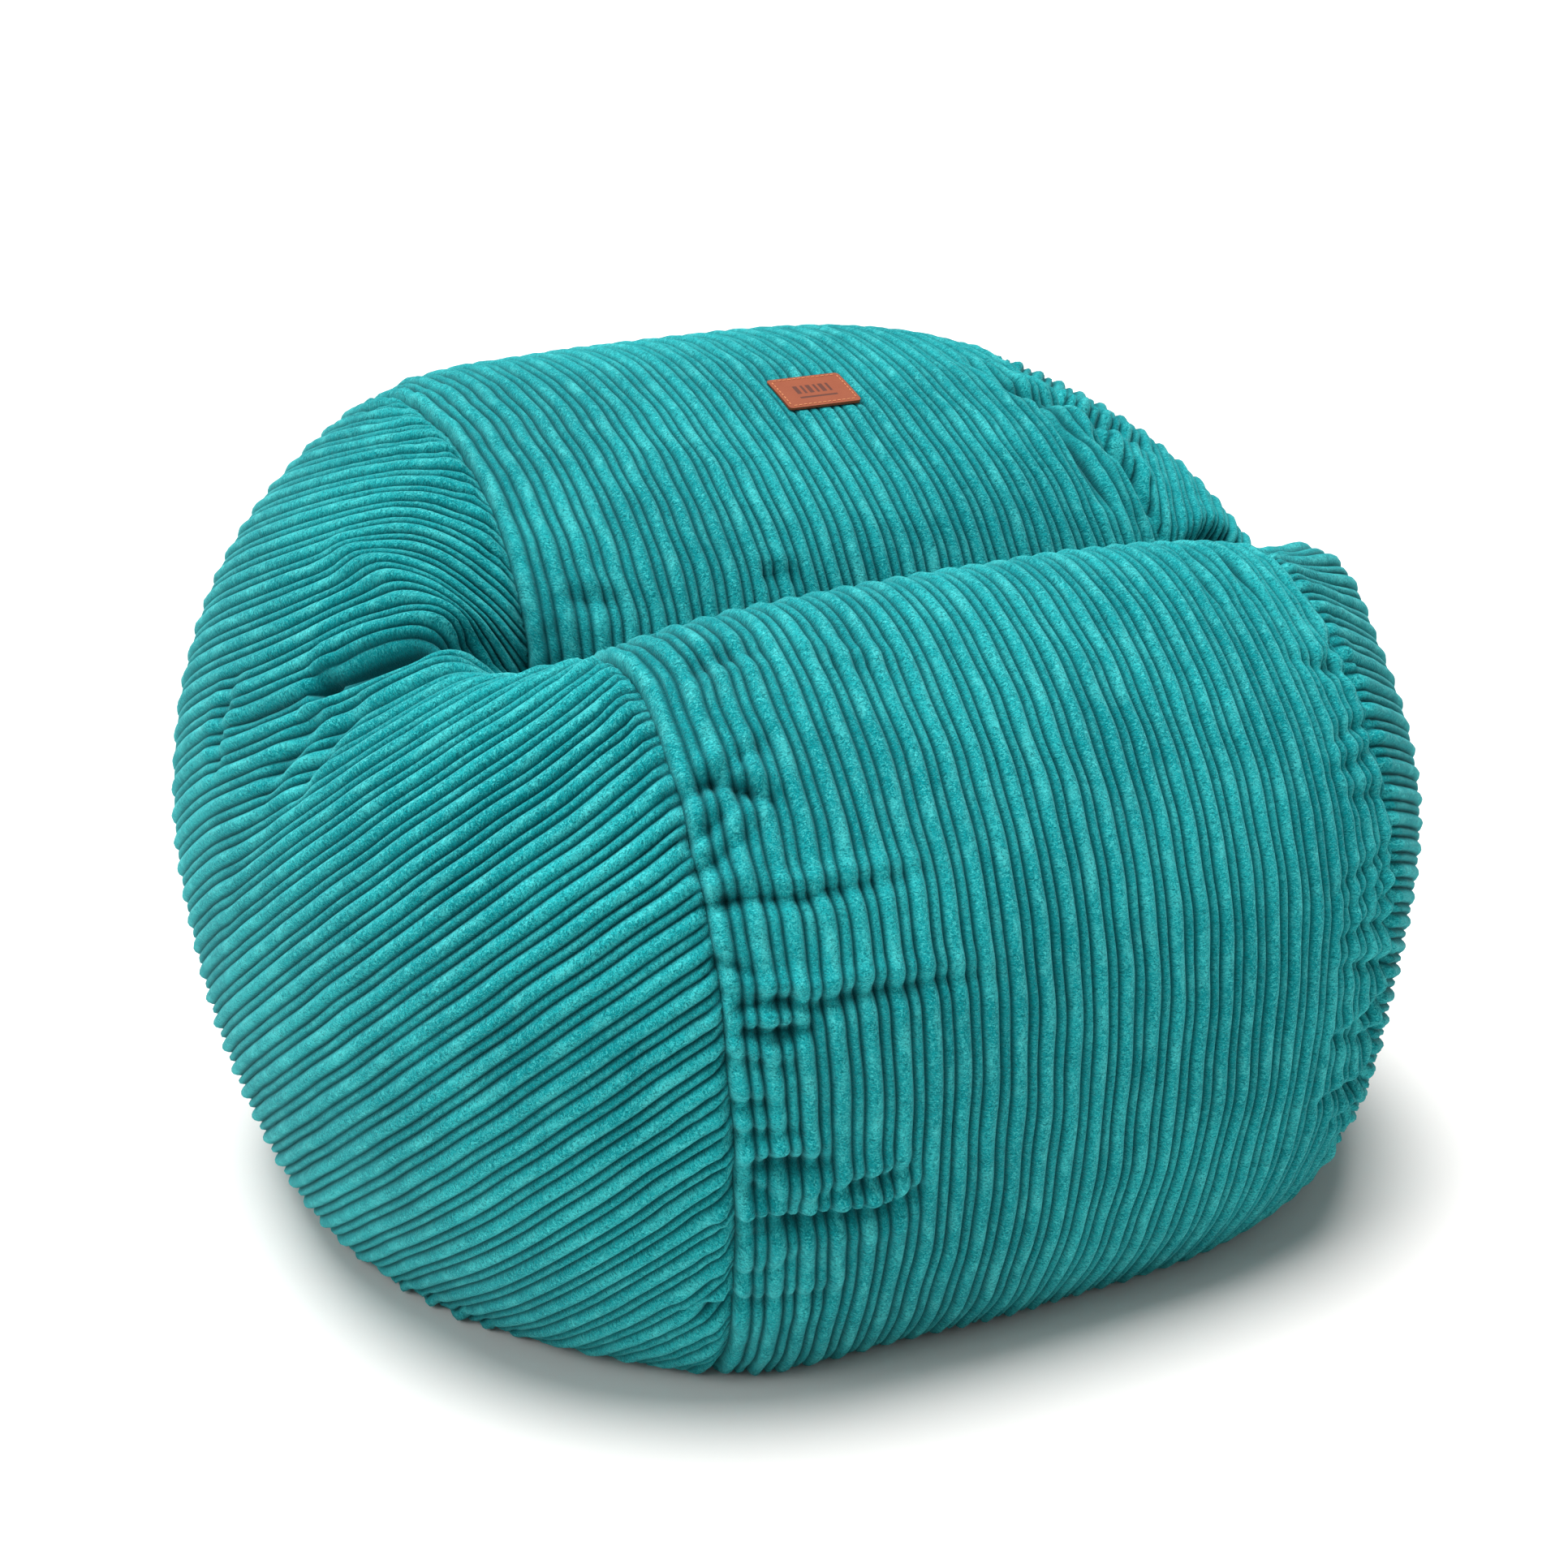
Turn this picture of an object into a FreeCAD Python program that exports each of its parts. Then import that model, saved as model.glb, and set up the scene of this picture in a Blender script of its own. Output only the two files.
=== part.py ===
import FreeCAD, Part
import math
import os

# Bean bag chair: a foam mattress stands folded inside a removable ribbed cover.
# Frame: millimetres, +Z up, +Y to the back, +X to the sitter's left (seen from the front, right).
# The origin is the middle of the footprint's box, on the floor.

# ---- Driving dimensions ----------------------------------------------------------------------

# Outline of the stuffed cover on its middle plane, as (y, z) from the scaling centre's plane.
# The two lowest points lie under the floor: the bag's own weight flattens it there.
base_front = (-358.0, -42.0)
lower_front = (-478.0, 117.0)
front_belly = (-513.0, 335.0)
upper_front = (-452.0, 519.0)
seat_top = (-252.0, 640.0)
crease_front = (-177.0, 527.0)
crease_bottom = (-151.0, 380.0)
crease_tip_radius = 9.0
crease_back = (-133.0, 547.0)
back_front = (106.0, 745.0)
back_top = (278.0, 746.0)
upper_back = (434.0, 664.0)
back_belly = (531.0, 412.0)
lower_back = (465.0, 147.0)
base_back = (355.0, -50.0)

# Round ends: a section at x is the middle outline, scaled about the height scale_height.
half_width = 582.0
scale_height = 295.0
end_power = 2.83
end_root = 2.47
end_cap_scale = 0.2
section_count = 21
poles_per_span = 3

# The crease fades out towards the ends, where its points rise to these.
crease_fade_start = 265.0
crease_fade_rate = 1.3
faded_crease = ((-211.0, 592.0), (-166.0, 580.0), (-136.0, 580.0), (-106.0, 590.0), (-61.0, 618.0))

# Cover
seam_x = 312.0
cover_thickness = 3.0

# Folded mattress inside the cover
sewn_gap = 0.4
case_thickness = 1.2
fold_height = 95.0
fold_gap = 0.6

# Zip across the lower back, seen along its own arc
zip_half_length = 240.0
zip_bow_half_chord = 260.0
tape_depth = 7.2
tape_thickness = 0.8
tape_width = 15.0
tape_overrun = 12.0
tooth_pitch = 4.0
tooth_length = 2.4
tooth_height = 3.5
tooth_thickness = 2.6
row_gap = 1.6
slot_half_height = 7.0
slot_overrun = 7.0
hem_overrun = 4.0
stop_length = 2.4
stop_clearance = 0.3
pocket_depth = 3.6
pocket_margin = 1.0

# Slider and its pull
slider_length = 14.0
slider_half_height = 6.0
plate_thickness = 1.2
running_gap = 0.5
flange_depth = 1.0
web_thickness = 0.7
web_length = 6.0
pin_stand_off = 8.6
pin_radius = 0.9
eye_clearance = 0.25
eye_wall = 0.9
eye_length = 5.0
lug_thickness = 1.4
lug_clearance = 0.3
lug_half_length = 2.4
neck_length = 4.5
pull_length = 26.0
pull_width = 8.0
pull_thickness = 1.6
pull_hole_radius = 1.6

# Label patch on the front of the back lobe
label_x = 34.0
label_y = 67.0
label_width = 78.0
label_height = 52.0
label_thickness = 2.0
label_corner = 4.0
stitch_inset = 3.6
stitch_length = 3.2
stitch_width = 0.8
stitch_height = 0.5
stitch_pitch = 5.2

big = 2000.0


# ---- Stuffed shape ---------------------------------------------------------------------------

def end_scale(x, reach):
    """Scale of the section at x in a body whose round ends reach to x = reach."""
    share = min(abs(x) / reach, 1.0)
    return (1.0 - share ** end_power) ** (1.0 / end_root)


def crease_points(x):
    """Points of the crease at x, from front to back, raised towards the ends."""
    y, z = crease_bottom
    lip = z + crease_tip_radius
    tip = [(y - crease_tip_radius, lip), crease_bottom, (y + crease_tip_radius, lip)]
    deep_crease = [crease_front] + tip + [crease_back]
    share = (abs(x) - crease_fade_start) / (half_width - crease_fade_start)
    share = min(max(share, 0.0), 1.0)
    fade = min(crease_fade_rate * share * share * (3.0 - 2.0 * share), 1.0)
    points = []
    for deep, faded in zip(deep_crease, faded_crease):
        y = deep[0] + fade * (faded[0] - deep[0])
        z = deep[1] + fade * (faded[1] - deep[1])
        points.append((y, z))
    return points


def section_curve(x, reach):
    """Smooth closed outline at x of a body whose round ends reach to x = reach."""
    front = [base_front, lower_front, front_belly, upper_front, seat_top]
    back = [back_front, back_top, upper_back, back_belly, lower_back, base_back]
    scale = end_scale(x, reach)
    points = []
    for y, z in front + crease_points(x) + back:
        points.append(FreeCAD.Vector(x, y * scale, scale_height + (z - scale_height) * scale))
    curve = Part.BSplineCurve()
    curve.interpolate(Points=points, PeriodicFlag=True)
    return curve


def section_poles(x, inset):
    """Control points around the section at x, moved inwards by inset."""
    outline = section_curve(x, half_width - inset)
    knots = outline.getKnots()
    poles = []
    for start, end in zip(knots[:-1], knots[1:]):
        for i in range(poles_per_span):
            place = start + (end - start) * i / poles_per_span
            along = outline.tangent(place)[0]
            inwards = FreeCAD.Vector(0, along.z, -along.y)
            poles.append(outline.value(place) + inwards * inset)
    return poles


def stuffed_body(inset):
    """Solid of the whole round body, before the floor flattens it."""
    reach = half_width - inset
    share = (1.0 - end_cap_scale ** end_root) ** (1.0 / end_power)
    last_angle = math.asin(share)
    net = []
    for i in range(section_count):
        angle = last_angle * (2.0 * i / (section_count - 1) - 1.0)
        net.append(section_poles(reach * math.sin(angle), inset))
    along_knots = list(range(section_count - 2))
    along_counts = [4] + [1] * (section_count - 4) + [4]
    around_knots = list(range(len(net[0]) + 1))
    around_counts = [1] * len(around_knots)
    surface = Part.BSplineSurface()
    surface.buildFromPolesMultsKnots(net, along_counts, around_counts, along_knots, around_knots,
                                     False, True, 3, 3)
    side = surface.toShape()
    rims = [edge for edge in side.Edges
            if edge.BoundBox.XLength < 1.0 and edge.BoundBox.YLength > 1.0]
    caps = [Part.Face(Part.Wire([rim])) for rim in rims]
    shell = Part.makeShell([side] + caps)
    shell.sewShape()
    solid = Part.Solid(shell)
    if solid.Volume < 0:
        solid.reverse()
    return solid


def box(x0, x1, y0, y1, z0, z1):
    """Box between two corners."""
    return Part.makeBox(x1 - x0, y1 - y0, z1 - z0, FreeCAD.Vector(x0, y0, z0))


def above(shape, height):
    """What lies above a height."""
    return shape.common(box(-big, big, -big, big, height, big))


def three_spans(shape):
    """A shell cut at the two seams: its left end, middle and right end."""
    left = shape.common(box(-big, -seam_x, -big, big, -big, big))
    middle = shape.common(box(-seam_x, seam_x, -big, big, -big, big))
    right = shape.common(box(seam_x, big, -big, big, -big, big))
    return left, middle, right


# ---- Zip frame -------------------------------------------------------------------------------
# The zip follows the bowed back in the plane through the scaling centre and lower_back, so its
# line is an arc. Its own frame has that arc's centre as origin, Y out of the bag at the zip's
# middle, and Z up along the back. Arc lengths run towards +X.

zip_angle = math.atan2(scale_height - lower_back[1], lower_back[0])
zip_reach = math.hypot(lower_back[0], lower_back[1] - scale_height)
zip_bow = zip_reach * (1.0 - end_scale(zip_bow_half_chord, half_width))
surface_radius = (zip_bow_half_chord ** 2 + zip_bow ** 2) / (2.0 * zip_bow)
tape_radius = surface_radius - tape_depth

zip_out = FreeCAD.Vector(0, math.cos(zip_angle), -math.sin(zip_angle))
zip_up = FreeCAD.Vector(0, math.sin(zip_angle), math.cos(zip_angle))
scaling_centre = FreeCAD.Vector(0, 0, scale_height)
arc_centre = scaling_centre + zip_out * (zip_reach - surface_radius)
zip_turn = FreeCAD.Rotation(FreeCAD.Vector(1, 0, 0), -math.degrees(zip_angle))
zip_place = FreeCAD.Placement(arc_centre, zip_turn)

slider_travel = zip_half_length - slider_length / 2.0 - stop_clearance
tape_edge = row_gap / 2.0 + tooth_height


def arc_degrees(arc_length):
    """Turn about the arc's centre for a length along the tapes."""
    return math.degrees(arc_length / tape_radius)


def in_zip_frame(shape):
    """A shape from the zip's frame, put where the zip is."""
    placed = shape.copy()
    placed.Placement = zip_place.multiply(placed.Placement)
    return placed


def at_arc(shape, arc_length):
    """A shape from the zip's middle, moved along the arc."""
    turn = FreeCAD.Rotation(FreeCAD.Vector(0, 0, 1), -arc_degrees(arc_length))
    moved = shape.copy()
    moved.Placement = FreeCAD.Placement(FreeCAD.Vector(), turn).multiply(moved.Placement)
    return moved


def arc_band(inner, outer, low, high, start, end):
    """Band along the zip: radii from tape_radius, heights across it, arc lengths along it."""
    corners = [(inner, low), (outer, low), (outer, high), (inner, high), (inner, low)]
    points = [FreeCAD.Vector(0, tape_radius + radius, height) for radius, height in corners]
    face = Part.Face(Part.makePolygon(points))
    face.Placement = FreeCAD.Placement(
        FreeCAD.Vector(), FreeCAD.Rotation(FreeCAD.Vector(0, 0, 1), -arc_degrees(start)))
    axis = FreeCAD.Vector(0, 0, -1)
    return face.revolve(FreeCAD.Vector(), axis, arc_degrees(end - start))


def zip_block(length, inner, outer, low, high):
    """Straight block across the zip's middle: radii from tape_radius and heights."""
    corner = FreeCAD.Vector(-length / 2.0, tape_radius + inner, low)
    return Part.makeBox(length, outer - inner, high - low, corner)


def slot_band():
    """Space between the two panels that the zip closes."""
    end = zip_half_length + slot_overrun
    return in_zip_frame(arc_band(-30.0, 30.0, -slot_half_height, slot_half_height, -end, end))


def hem_band():
    """Space that the folded hems fill, from the tapes out to the panels."""
    end = zip_half_length + tape_overrun + hem_overrun
    edge = tape_edge + tape_width
    return in_zip_frame(arc_band(tape_thickness / 2.0, 30.0, -edge, edge, -end, end))


def mattress_recess(grow):
    """Dent that the zip presses into the mattress, grown by a wall."""
    end = zip_half_length + tape_overrun + hem_overrun + pocket_margin + grow
    edge = tape_edge + tape_width + pocket_margin + grow
    return in_zip_frame(arc_band(-pocket_depth - grow, 40.0, -edge, edge, -end, end))


# ---- Cover -----------------------------------------------------------------------------------

def below_zip():
    """Region of the back panel that lies below the zip's line."""
    region = box(-big, big, 0.0, big, -big, 0.0)
    region.Placement = FreeCAD.Placement(scaling_centre, zip_turn)
    return region


def cover_panels(outer, lining):
    """Panels of the cover, sewn edge to edge."""
    wall = above(outer.cut(lining), 0.0)
    left, middle, right = three_spans(wall)
    hem = outer.common(hem_band())
    middle = middle.fuse(hem).cut(slot_band())
    lower = below_zip()
    return {
        "cover_wrap_panel": middle.cut(lower),
        "cover_lower_back_panel": middle.common(lower),
        "cover_left_end_panel": left,
        "cover_right_end_panel": right,
        "cover_base_panel": lining.common(box(-big, big, -big, big, 0.0, cover_thickness)),
    }


# ---- Zip -------------------------------------------------------------------------------------

def zip_tape(side):
    """Woven tape on one side of the zip: side is 1 above it and -1 below."""
    low, high = sorted((side * tape_edge, side * (tape_edge + tape_width)))
    end = zip_half_length + tape_overrun
    half = tape_thickness / 2.0
    return in_zip_frame(arc_band(-half, half, low, high, -end, end))


def zip_teeth(side):
    """Row of moulded teeth on one tape, each its own solid."""
    low, high = sorted((side * row_gap / 2.0, side * tape_edge))
    half = tooth_thickness / 2.0
    tooth = zip_block(tooth_length, -half, half, low, high)
    count = int(2.0 * zip_half_length / tooth_pitch)
    first = -(count - 1) * tooth_pitch / 2.0
    teeth = [at_arc(tooth, first + i * tooth_pitch) for i in range(count)]
    return in_zip_frame(Part.makeCompound(teeth))


def zip_stops():
    """Stops at the four ends of the two rows."""
    half = tooth_thickness / 2.0 + running_gap
    place = zip_half_length + stop_clearance + stop_length / 2.0
    stops = []
    for side in (1, -1):
        low, high = sorted((side * row_gap / 2.0, side * tape_edge))
        block = zip_block(stop_length, -half, half, low, high)
        for end in (-place, place):
            stops.append(at_arc(block, end))
    return in_zip_frame(Part.makeCompound(stops))


def zip_slider():
    """Slider at the zip's middle: two plates, their flanges, a web, and lugs with a pin."""
    inner = tooth_thickness / 2.0 + running_gap
    outer = inner + plate_thickness
    edge = slider_half_height
    flange = tape_thickness / 2.0 + running_gap
    slider = zip_block(web_length, -outer, outer, -web_thickness / 2.0, web_thickness / 2.0)
    for side in (1, -1):
        low, high = sorted((side * inner, side * outer))
        slider = slider.fuse(zip_block(slider_length, low, high, -edge, edge))
        low, high = sorted((side * flange, side * outer))
        for rim in ((edge - flange_depth, edge), (-edge, flange_depth - edge)):
            slider = slider.fuse(zip_block(slider_length, low, high, rim[0], rim[1]))
    lug_inner = eye_length / 2.0 + lug_clearance
    lug_outer = lug_inner + lug_thickness
    top = pin_stand_off + pin_radius + eye_wall
    for low, high in ((lug_inner, lug_outer), (-lug_outer, -lug_inner)):
        slider = slider.fuse(zip_block(2.0 * lug_half_length, inner, top, low, high))
    start = FreeCAD.Vector(0, tape_radius + pin_stand_off, -lug_outer)
    pin = Part.makeCylinder(pin_radius, 2.0 * lug_outer, start, FreeCAD.Vector(0, 0, 1))
    return slider.fuse(pin).removeSplitter()


def zip_pull():
    """Pull on the pin at the zip's middle, lying along the zip towards +X."""
    bore = pin_radius + eye_clearance
    eye_radius = bore + eye_wall
    start = FreeCAD.Vector(0, tape_radius + pin_stand_off, -eye_length / 2.0)
    up = FreeCAD.Vector(0, 0, 1)
    half = pull_thickness / 2.0
    middle = tape_radius + pin_stand_off
    neck = box(0, eye_radius + neck_length, middle - half, middle + half,
               -eye_length / 2.0, eye_length / 2.0)
    blade = box(neck_length, pull_length, middle - half, middle + half,
                -pull_width / 2.0, pull_width / 2.0)
    corners = [edge for edge in blade.Edges
               if edge.Length < 2.0 * half + 0.01 and edge.CenterOfMass.x > neck_length + 1.0]
    blade = blade.makeFillet(pull_width / 2.0 - 0.5, corners)
    hole_place = FreeCAD.Vector(pull_length - pull_width / 2.0, middle - half - 1.0, 0)
    hole = Part.makeCylinder(pull_hole_radius, pull_thickness + 2.0, hole_place,
                             FreeCAD.Vector(0, 1, 0))
    pull = Part.makeCylinder(eye_radius, eye_length, start, up).fuse([neck, blade])
    drill = Part.makeCylinder(bore, eye_length, start, up)
    return pull.cut(drill).cut(hole).removeSplitter()


def zip_pieces():
    """Every piece of the zip. The slider stands at its closed end, at the least x."""
    return {
        "zip_upper_tape": zip_tape(1),
        "zip_lower_tape": zip_tape(-1),
        "zip_upper_teeth": zip_teeth(1),
        "zip_lower_teeth": zip_teeth(-1),
        "zip_end_stops": zip_stops(),
        "zip_slider": in_zip_frame(at_arc(zip_slider(), -slider_travel)),
        "zip_pull": in_zip_frame(at_arc(zip_pull(), -slider_travel)),
    }


# ---- Label patch -----------------------------------------------------------------------------

def label_seat(outer):
    """Where the patch sits: its frame, with Z out of the cover, and the cover's bend there."""
    outline = section_curve(label_x, half_width)
    probe = Part.makeLine((label_x, label_y, back_front[1] - 100.0), (label_x, label_y, big))
    face = outer.slice(FreeCAD.Vector(1, 0, 0), label_x)[0]
    seat = face.distToShape(probe)[1][0][0]
    place = outline.parameter(seat)
    along = outline.tangent(place)[0]
    tilt = math.degrees(math.atan2(along.z, along.y))
    turn = FreeCAD.Rotation(FreeCAD.Vector(1, 0, 0), tilt)
    return FreeCAD.Placement(seat, turn), 1.0 / outline.curvature(place)


def label_blank():
    """Upright block with the patch's rounded outline."""
    half = (label_width / 2.0, label_height / 2.0)
    blank = box(-half[0], half[0], -half[1], half[1], -20.0, 20.0)
    corners = [edge for edge in blank.Edges if abs(edge.tangentAt(edge.FirstParameter).z) > 0.9]
    return blank.makeFillet(label_corner, corners)


def bent_to(bend, shape, offset):
    """A shape standing at the label's middle, carried round the cover's bend by an offset."""
    turn = FreeCAD.Rotation(FreeCAD.Vector(1, 0, 0), -math.degrees(offset / bend))
    moved = shape.copy()
    centre = FreeCAD.Vector(0, 0, -bend)
    moved.Placement = FreeCAD.Placement(FreeCAD.Vector(), turn, centre).multiply(moved.Placement)
    return moved


def stitch_places():
    """Middles and directions of the stitches around the patch."""
    half_run = label_width / 2.0 - stitch_inset
    half_rise = label_height / 2.0 - stitch_inset
    places = []
    for reach, offset, turned in ((half_run, half_rise, False), (half_rise, half_run, True)):
        count = int(2.0 * (reach - stitch_length) / stitch_pitch) + 1
        first = -(count - 1) * stitch_pitch / 2.0
        for i in range(count):
            step = first + i * stitch_pitch
            for side in (-offset, offset):
                places.append((side, step, turned) if turned else (step, side, turned))
    return places


def label_stitches(bend):
    """Stitches standing on the patch, each its own solid."""
    stitches = []
    for x, y, turned in stitch_places():
        length, width = (stitch_width, stitch_length) if turned else (stitch_length, stitch_width)
        block = box(x - length / 2.0, x + length / 2.0, -width / 2.0, width / 2.0,
                    label_thickness, label_thickness + stitch_height)
        stitches.append(bent_to(bend, block, y))
    return Part.makeCompound(stitches)


def label_pieces(outer):
    """The patch lies on the cover with its top bent like the cover, and carries its stitches."""
    place, bend = label_seat(outer)
    start = FreeCAD.Vector(-label_width, 0, -bend)
    top = Part.makeCylinder(bend + label_thickness, 2.0 * label_width, start,
                            FreeCAD.Vector(1, 0, 0))
    patch = top.common(label_blank())
    patch.Placement = place
    stitches = label_stitches(bend)
    stitches.Placement = place
    return {"label_patch": patch.cut(outer), "label_stitching": stitches}


# ---- Folded mattress -------------------------------------------------------------------------

def fold_slot(wall):
    """Gap between the two halves of the folded mattress, grown by a wall."""
    half = fold_gap / 2.0 + wall
    y = crease_bottom[0]
    return box(-big, big, y - half, y + half, fold_height - wall, crease_bottom[1] + cover_thickness)


def mattress_core(depth):
    """Mattress at a depth inside the cover's face, clear of the zip and open along its fold."""
    wall = depth - cover_thickness - sewn_gap
    core = above(stuffed_body(depth), depth)
    return core.cut(mattress_recess(wall)).cut(fold_slot(wall))


def mattress_pieces():
    """Case of the mattress in three spans, and its foam filling in two halves."""
    case_depth = cover_thickness + sewn_gap
    case = mattress_core(case_depth).cut(mattress_core(case_depth + case_thickness))
    left, middle, right = three_spans(case)
    foam = mattress_core(case_depth + case_thickness + sewn_gap)
    fold = crease_bottom[0]
    return {
        "mattress_case_left_end": left,
        "mattress_case_middle": middle,
        "mattress_case_right_end": right,
        "foam_fill_seat_half": foam.common(box(-big, big, -big, fold, -big, big)),
        "foam_fill_back_half": foam.common(box(-big, big, fold, big, -big, big)),
    }


# ---- Build -----------------------------------------------------------------------------------

def main():
    """Make every piece, move the origin to the footprint's middle and write the files."""
    outer = stuffed_body(0.0)
    lining = stuffed_body(cover_thickness)
    pieces = cover_panels(outer, lining)
    pieces.update(zip_pieces())
    pieces.update(label_pieces(outer))
    pieces.update(mattress_pieces())

    bounds = above(outer, 0.0).optimalBoundingBox(False, False)
    to_origin = FreeCAD.Vector(0, -(bounds.YMin + bounds.YMax) / 2.0, 0)
    os.makedirs("parts", exist_ok=True)
    for node, shape in pieces.items():
        shape.translate(to_origin)
        shape.exportStep("parts/" + node + ".step")
        print(node, len(shape.Solids), shape.isValid(), round(shape.Volume / 1000.0, 2), "cm3")

    pin = FreeCAD.Vector(0, tape_radius + pin_stand_off, 0)
    turn = FreeCAD.Rotation(FreeCAD.Vector(0, 0, 1), arc_degrees(slider_travel))
    pin = zip_place.multVec(turn.multVec(pin)) + to_origin
    print("origin shift", to_origin)
    print("slider axis at", arc_centre + to_origin, "along", zip_up)
    print("slider travel, degrees", 2.0 * arc_degrees(slider_travel))
    print("pull pin at", pin)


main()
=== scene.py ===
"""Bean bag chair: a ribbed plush cover over a folded foam mattress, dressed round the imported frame."""

import logging
import math
from dataclasses import dataclass, field, replace
from enum import Enum

import bpy
import numpy as np
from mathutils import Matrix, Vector
from mathutils.bvhtree import BVHTree


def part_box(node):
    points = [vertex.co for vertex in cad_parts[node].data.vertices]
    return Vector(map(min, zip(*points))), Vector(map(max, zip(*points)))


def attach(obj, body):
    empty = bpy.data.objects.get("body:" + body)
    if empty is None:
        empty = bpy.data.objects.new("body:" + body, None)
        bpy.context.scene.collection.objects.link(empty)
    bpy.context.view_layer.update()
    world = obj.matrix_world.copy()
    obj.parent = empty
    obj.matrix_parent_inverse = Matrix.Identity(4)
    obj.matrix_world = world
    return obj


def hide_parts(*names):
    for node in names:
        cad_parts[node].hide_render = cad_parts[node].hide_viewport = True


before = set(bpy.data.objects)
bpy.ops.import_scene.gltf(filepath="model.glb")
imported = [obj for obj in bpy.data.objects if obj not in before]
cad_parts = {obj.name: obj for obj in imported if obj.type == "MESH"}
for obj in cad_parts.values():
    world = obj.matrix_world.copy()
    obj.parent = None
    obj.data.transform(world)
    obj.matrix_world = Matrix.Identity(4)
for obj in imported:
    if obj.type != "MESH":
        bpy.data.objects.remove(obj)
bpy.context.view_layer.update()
LOG = logging.getLogger("bean_bag")

Array = np.ndarray
Pair = tuple[float, float]
Place = tuple[float, float, float]
Colour = tuple[float, float, float, float]
Socket = bpy.types.NodeSocket
Noise = tuple[float, float, float]  # scale, detail, roughness
Dose = tuple[float, float, float]   # where a soft step starts and ends, and its share of a mix

# Least lengths and numbers that may be divided by
LEAST_DOWN = 1e-3
LEAST_ALONG = 1e-4
LEAST_LENGTH = 1e-9
LEAST_STRENGTH = 1e-30
LEAST_AREA = 1e-12


# ---- Small helpers ---------------------------------------------------------------------------

def smooth_step(share: Array) -> Array:
    """Ease from 0 to 1 as share goes from 0 to 1."""
    clipped = np.clip(share, 0.0, 1.0)
    return clipped * clipped * (3.0 - 2.0 * clipped)


def unit(vectors: Array) -> Array:
    """Scale each vector of the last axis to length one."""
    return vectors / np.maximum(np.linalg.norm(vectors, axis=-1, keepdims=True), LEAST_LENGTH)


@dataclass(frozen=True)
class Ripple:
    """Smooth seeded noise: a sum of waves of about one wavelength."""

    wavelength: float
    seed: int
    waves: int = 14
    pitch: Pair = (0.6, 1.4)
    gain: float = 0.6

    def at(self, points: Array) -> Array:
        """Read the noise.

        Args:
            points: Places, with coordinates on the last axis.

        Returns:
            Values mostly from -1 to 1, one for each place.
        """
        draw = np.random.default_rng(self.seed)
        total = np.zeros(points.shape[:-1])
        for _ in range(self.waves):
            heading = draw.normal(size=points.shape[-1])
            heading *= draw.uniform(*self.pitch) * math.tau / self.wavelength / np.linalg.norm(heading)
            total += np.sin(points @ heading + draw.uniform(0.0, math.tau))
        return total / math.sqrt(self.waves / 2.0) * self.gain


def mesh_piece(name: str, points: Array, faces: Array) -> bpy.types.Object:
    """Make a smooth mesh object.

    Args:
        name: Name of the piece.
        points: Vertex places, one row each.
        faces: Vertex numbers, one row of four for each face.

    Returns:
        The new object, linked to the scene.
    """
    mesh = bpy.data.meshes.new(name)
    mesh.vertices.add(len(points))
    mesh.vertices.foreach_set("co", points.astype(np.float32).ravel())
    mesh.loops.add(faces.size)
    mesh.loops.foreach_set("vertex_index", faces.astype(np.int32).ravel())
    mesh.polygons.add(len(faces))
    starts = np.arange(len(faces), dtype=np.int32) * faces.shape[1]
    mesh.polygons.foreach_set("loop_start", starts)
    mesh.update(calc_edges=True)
    mesh.validate()
    mesh.polygons.foreach_set("use_smooth", np.ones(len(mesh.polygons), dtype=bool))
    piece = bpy.data.objects.new(name, mesh)
    bpy.context.scene.collection.objects.link(piece)
    return piece


def add_values(piece: bpy.types.Object, name: str, values: Array) -> None:
    """Store one number for each vertex, for a finish to read."""
    layer = piece.data.attributes.new(name, "FLOAT", "POINT")
    layer.data.foreach_set("value", values.astype(np.float32).ravel())


def add_places(piece: bpy.types.Object, name: str, places: Array) -> None:
    """Store one place for each vertex, for a finish to read."""
    layer = piece.data.attributes.new(name, "FLOAT_VECTOR", "POINT")
    layer.data.foreach_set("vector", places.astype(np.float32).ravel())


def grid_faces(rows: int, columns: int, closed: bool = False) -> Array:
    """Quads of a grid of vertices.

    Args:
        rows: Number of rows.
        columns: Number of vertices in a row.
        closed: Whether each row joins up with its own start.

    Returns:
        Vertex numbers, one row of four for each quad.
    """
    across = np.arange(columns if closed else columns - 1)
    first = np.arange(rows - 1)[:, None] * columns
    here = first + across
    there = first + (across + 1) % columns
    return np.stack([here, there, there + columns, here + columns], axis=-1).reshape(-1, 4)


def read_grid(grid: Array, row: Array, column: Array) -> Array:
    """Smooth value of a grid between its points: rows are clamped, columns join up.

    Args:
        grid: Values, as rows, columns, coordinates.
        row: Fractional row numbers.
        column: Fractional column numbers.

    Returns:
        Interpolated values, with the shape of row plus the coordinates.
    """
    rows, columns = grid.shape[:2]
    row_start = np.clip(np.floor(row).astype(int), 0, rows - 2)
    column_start = np.floor(column).astype(int)
    total = 0.0
    for i, row_weight in enumerate(spline_weights(row - row_start)):
        line = np.clip(row_start + i - 1, 0, rows - 1)
        for j, column_weight in enumerate(spline_weights(column - column_start)):
            cell = grid[line, (column_start + j - 1) % columns]
            total = total + (row_weight * column_weight)[..., None] * cell
    return total


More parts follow.
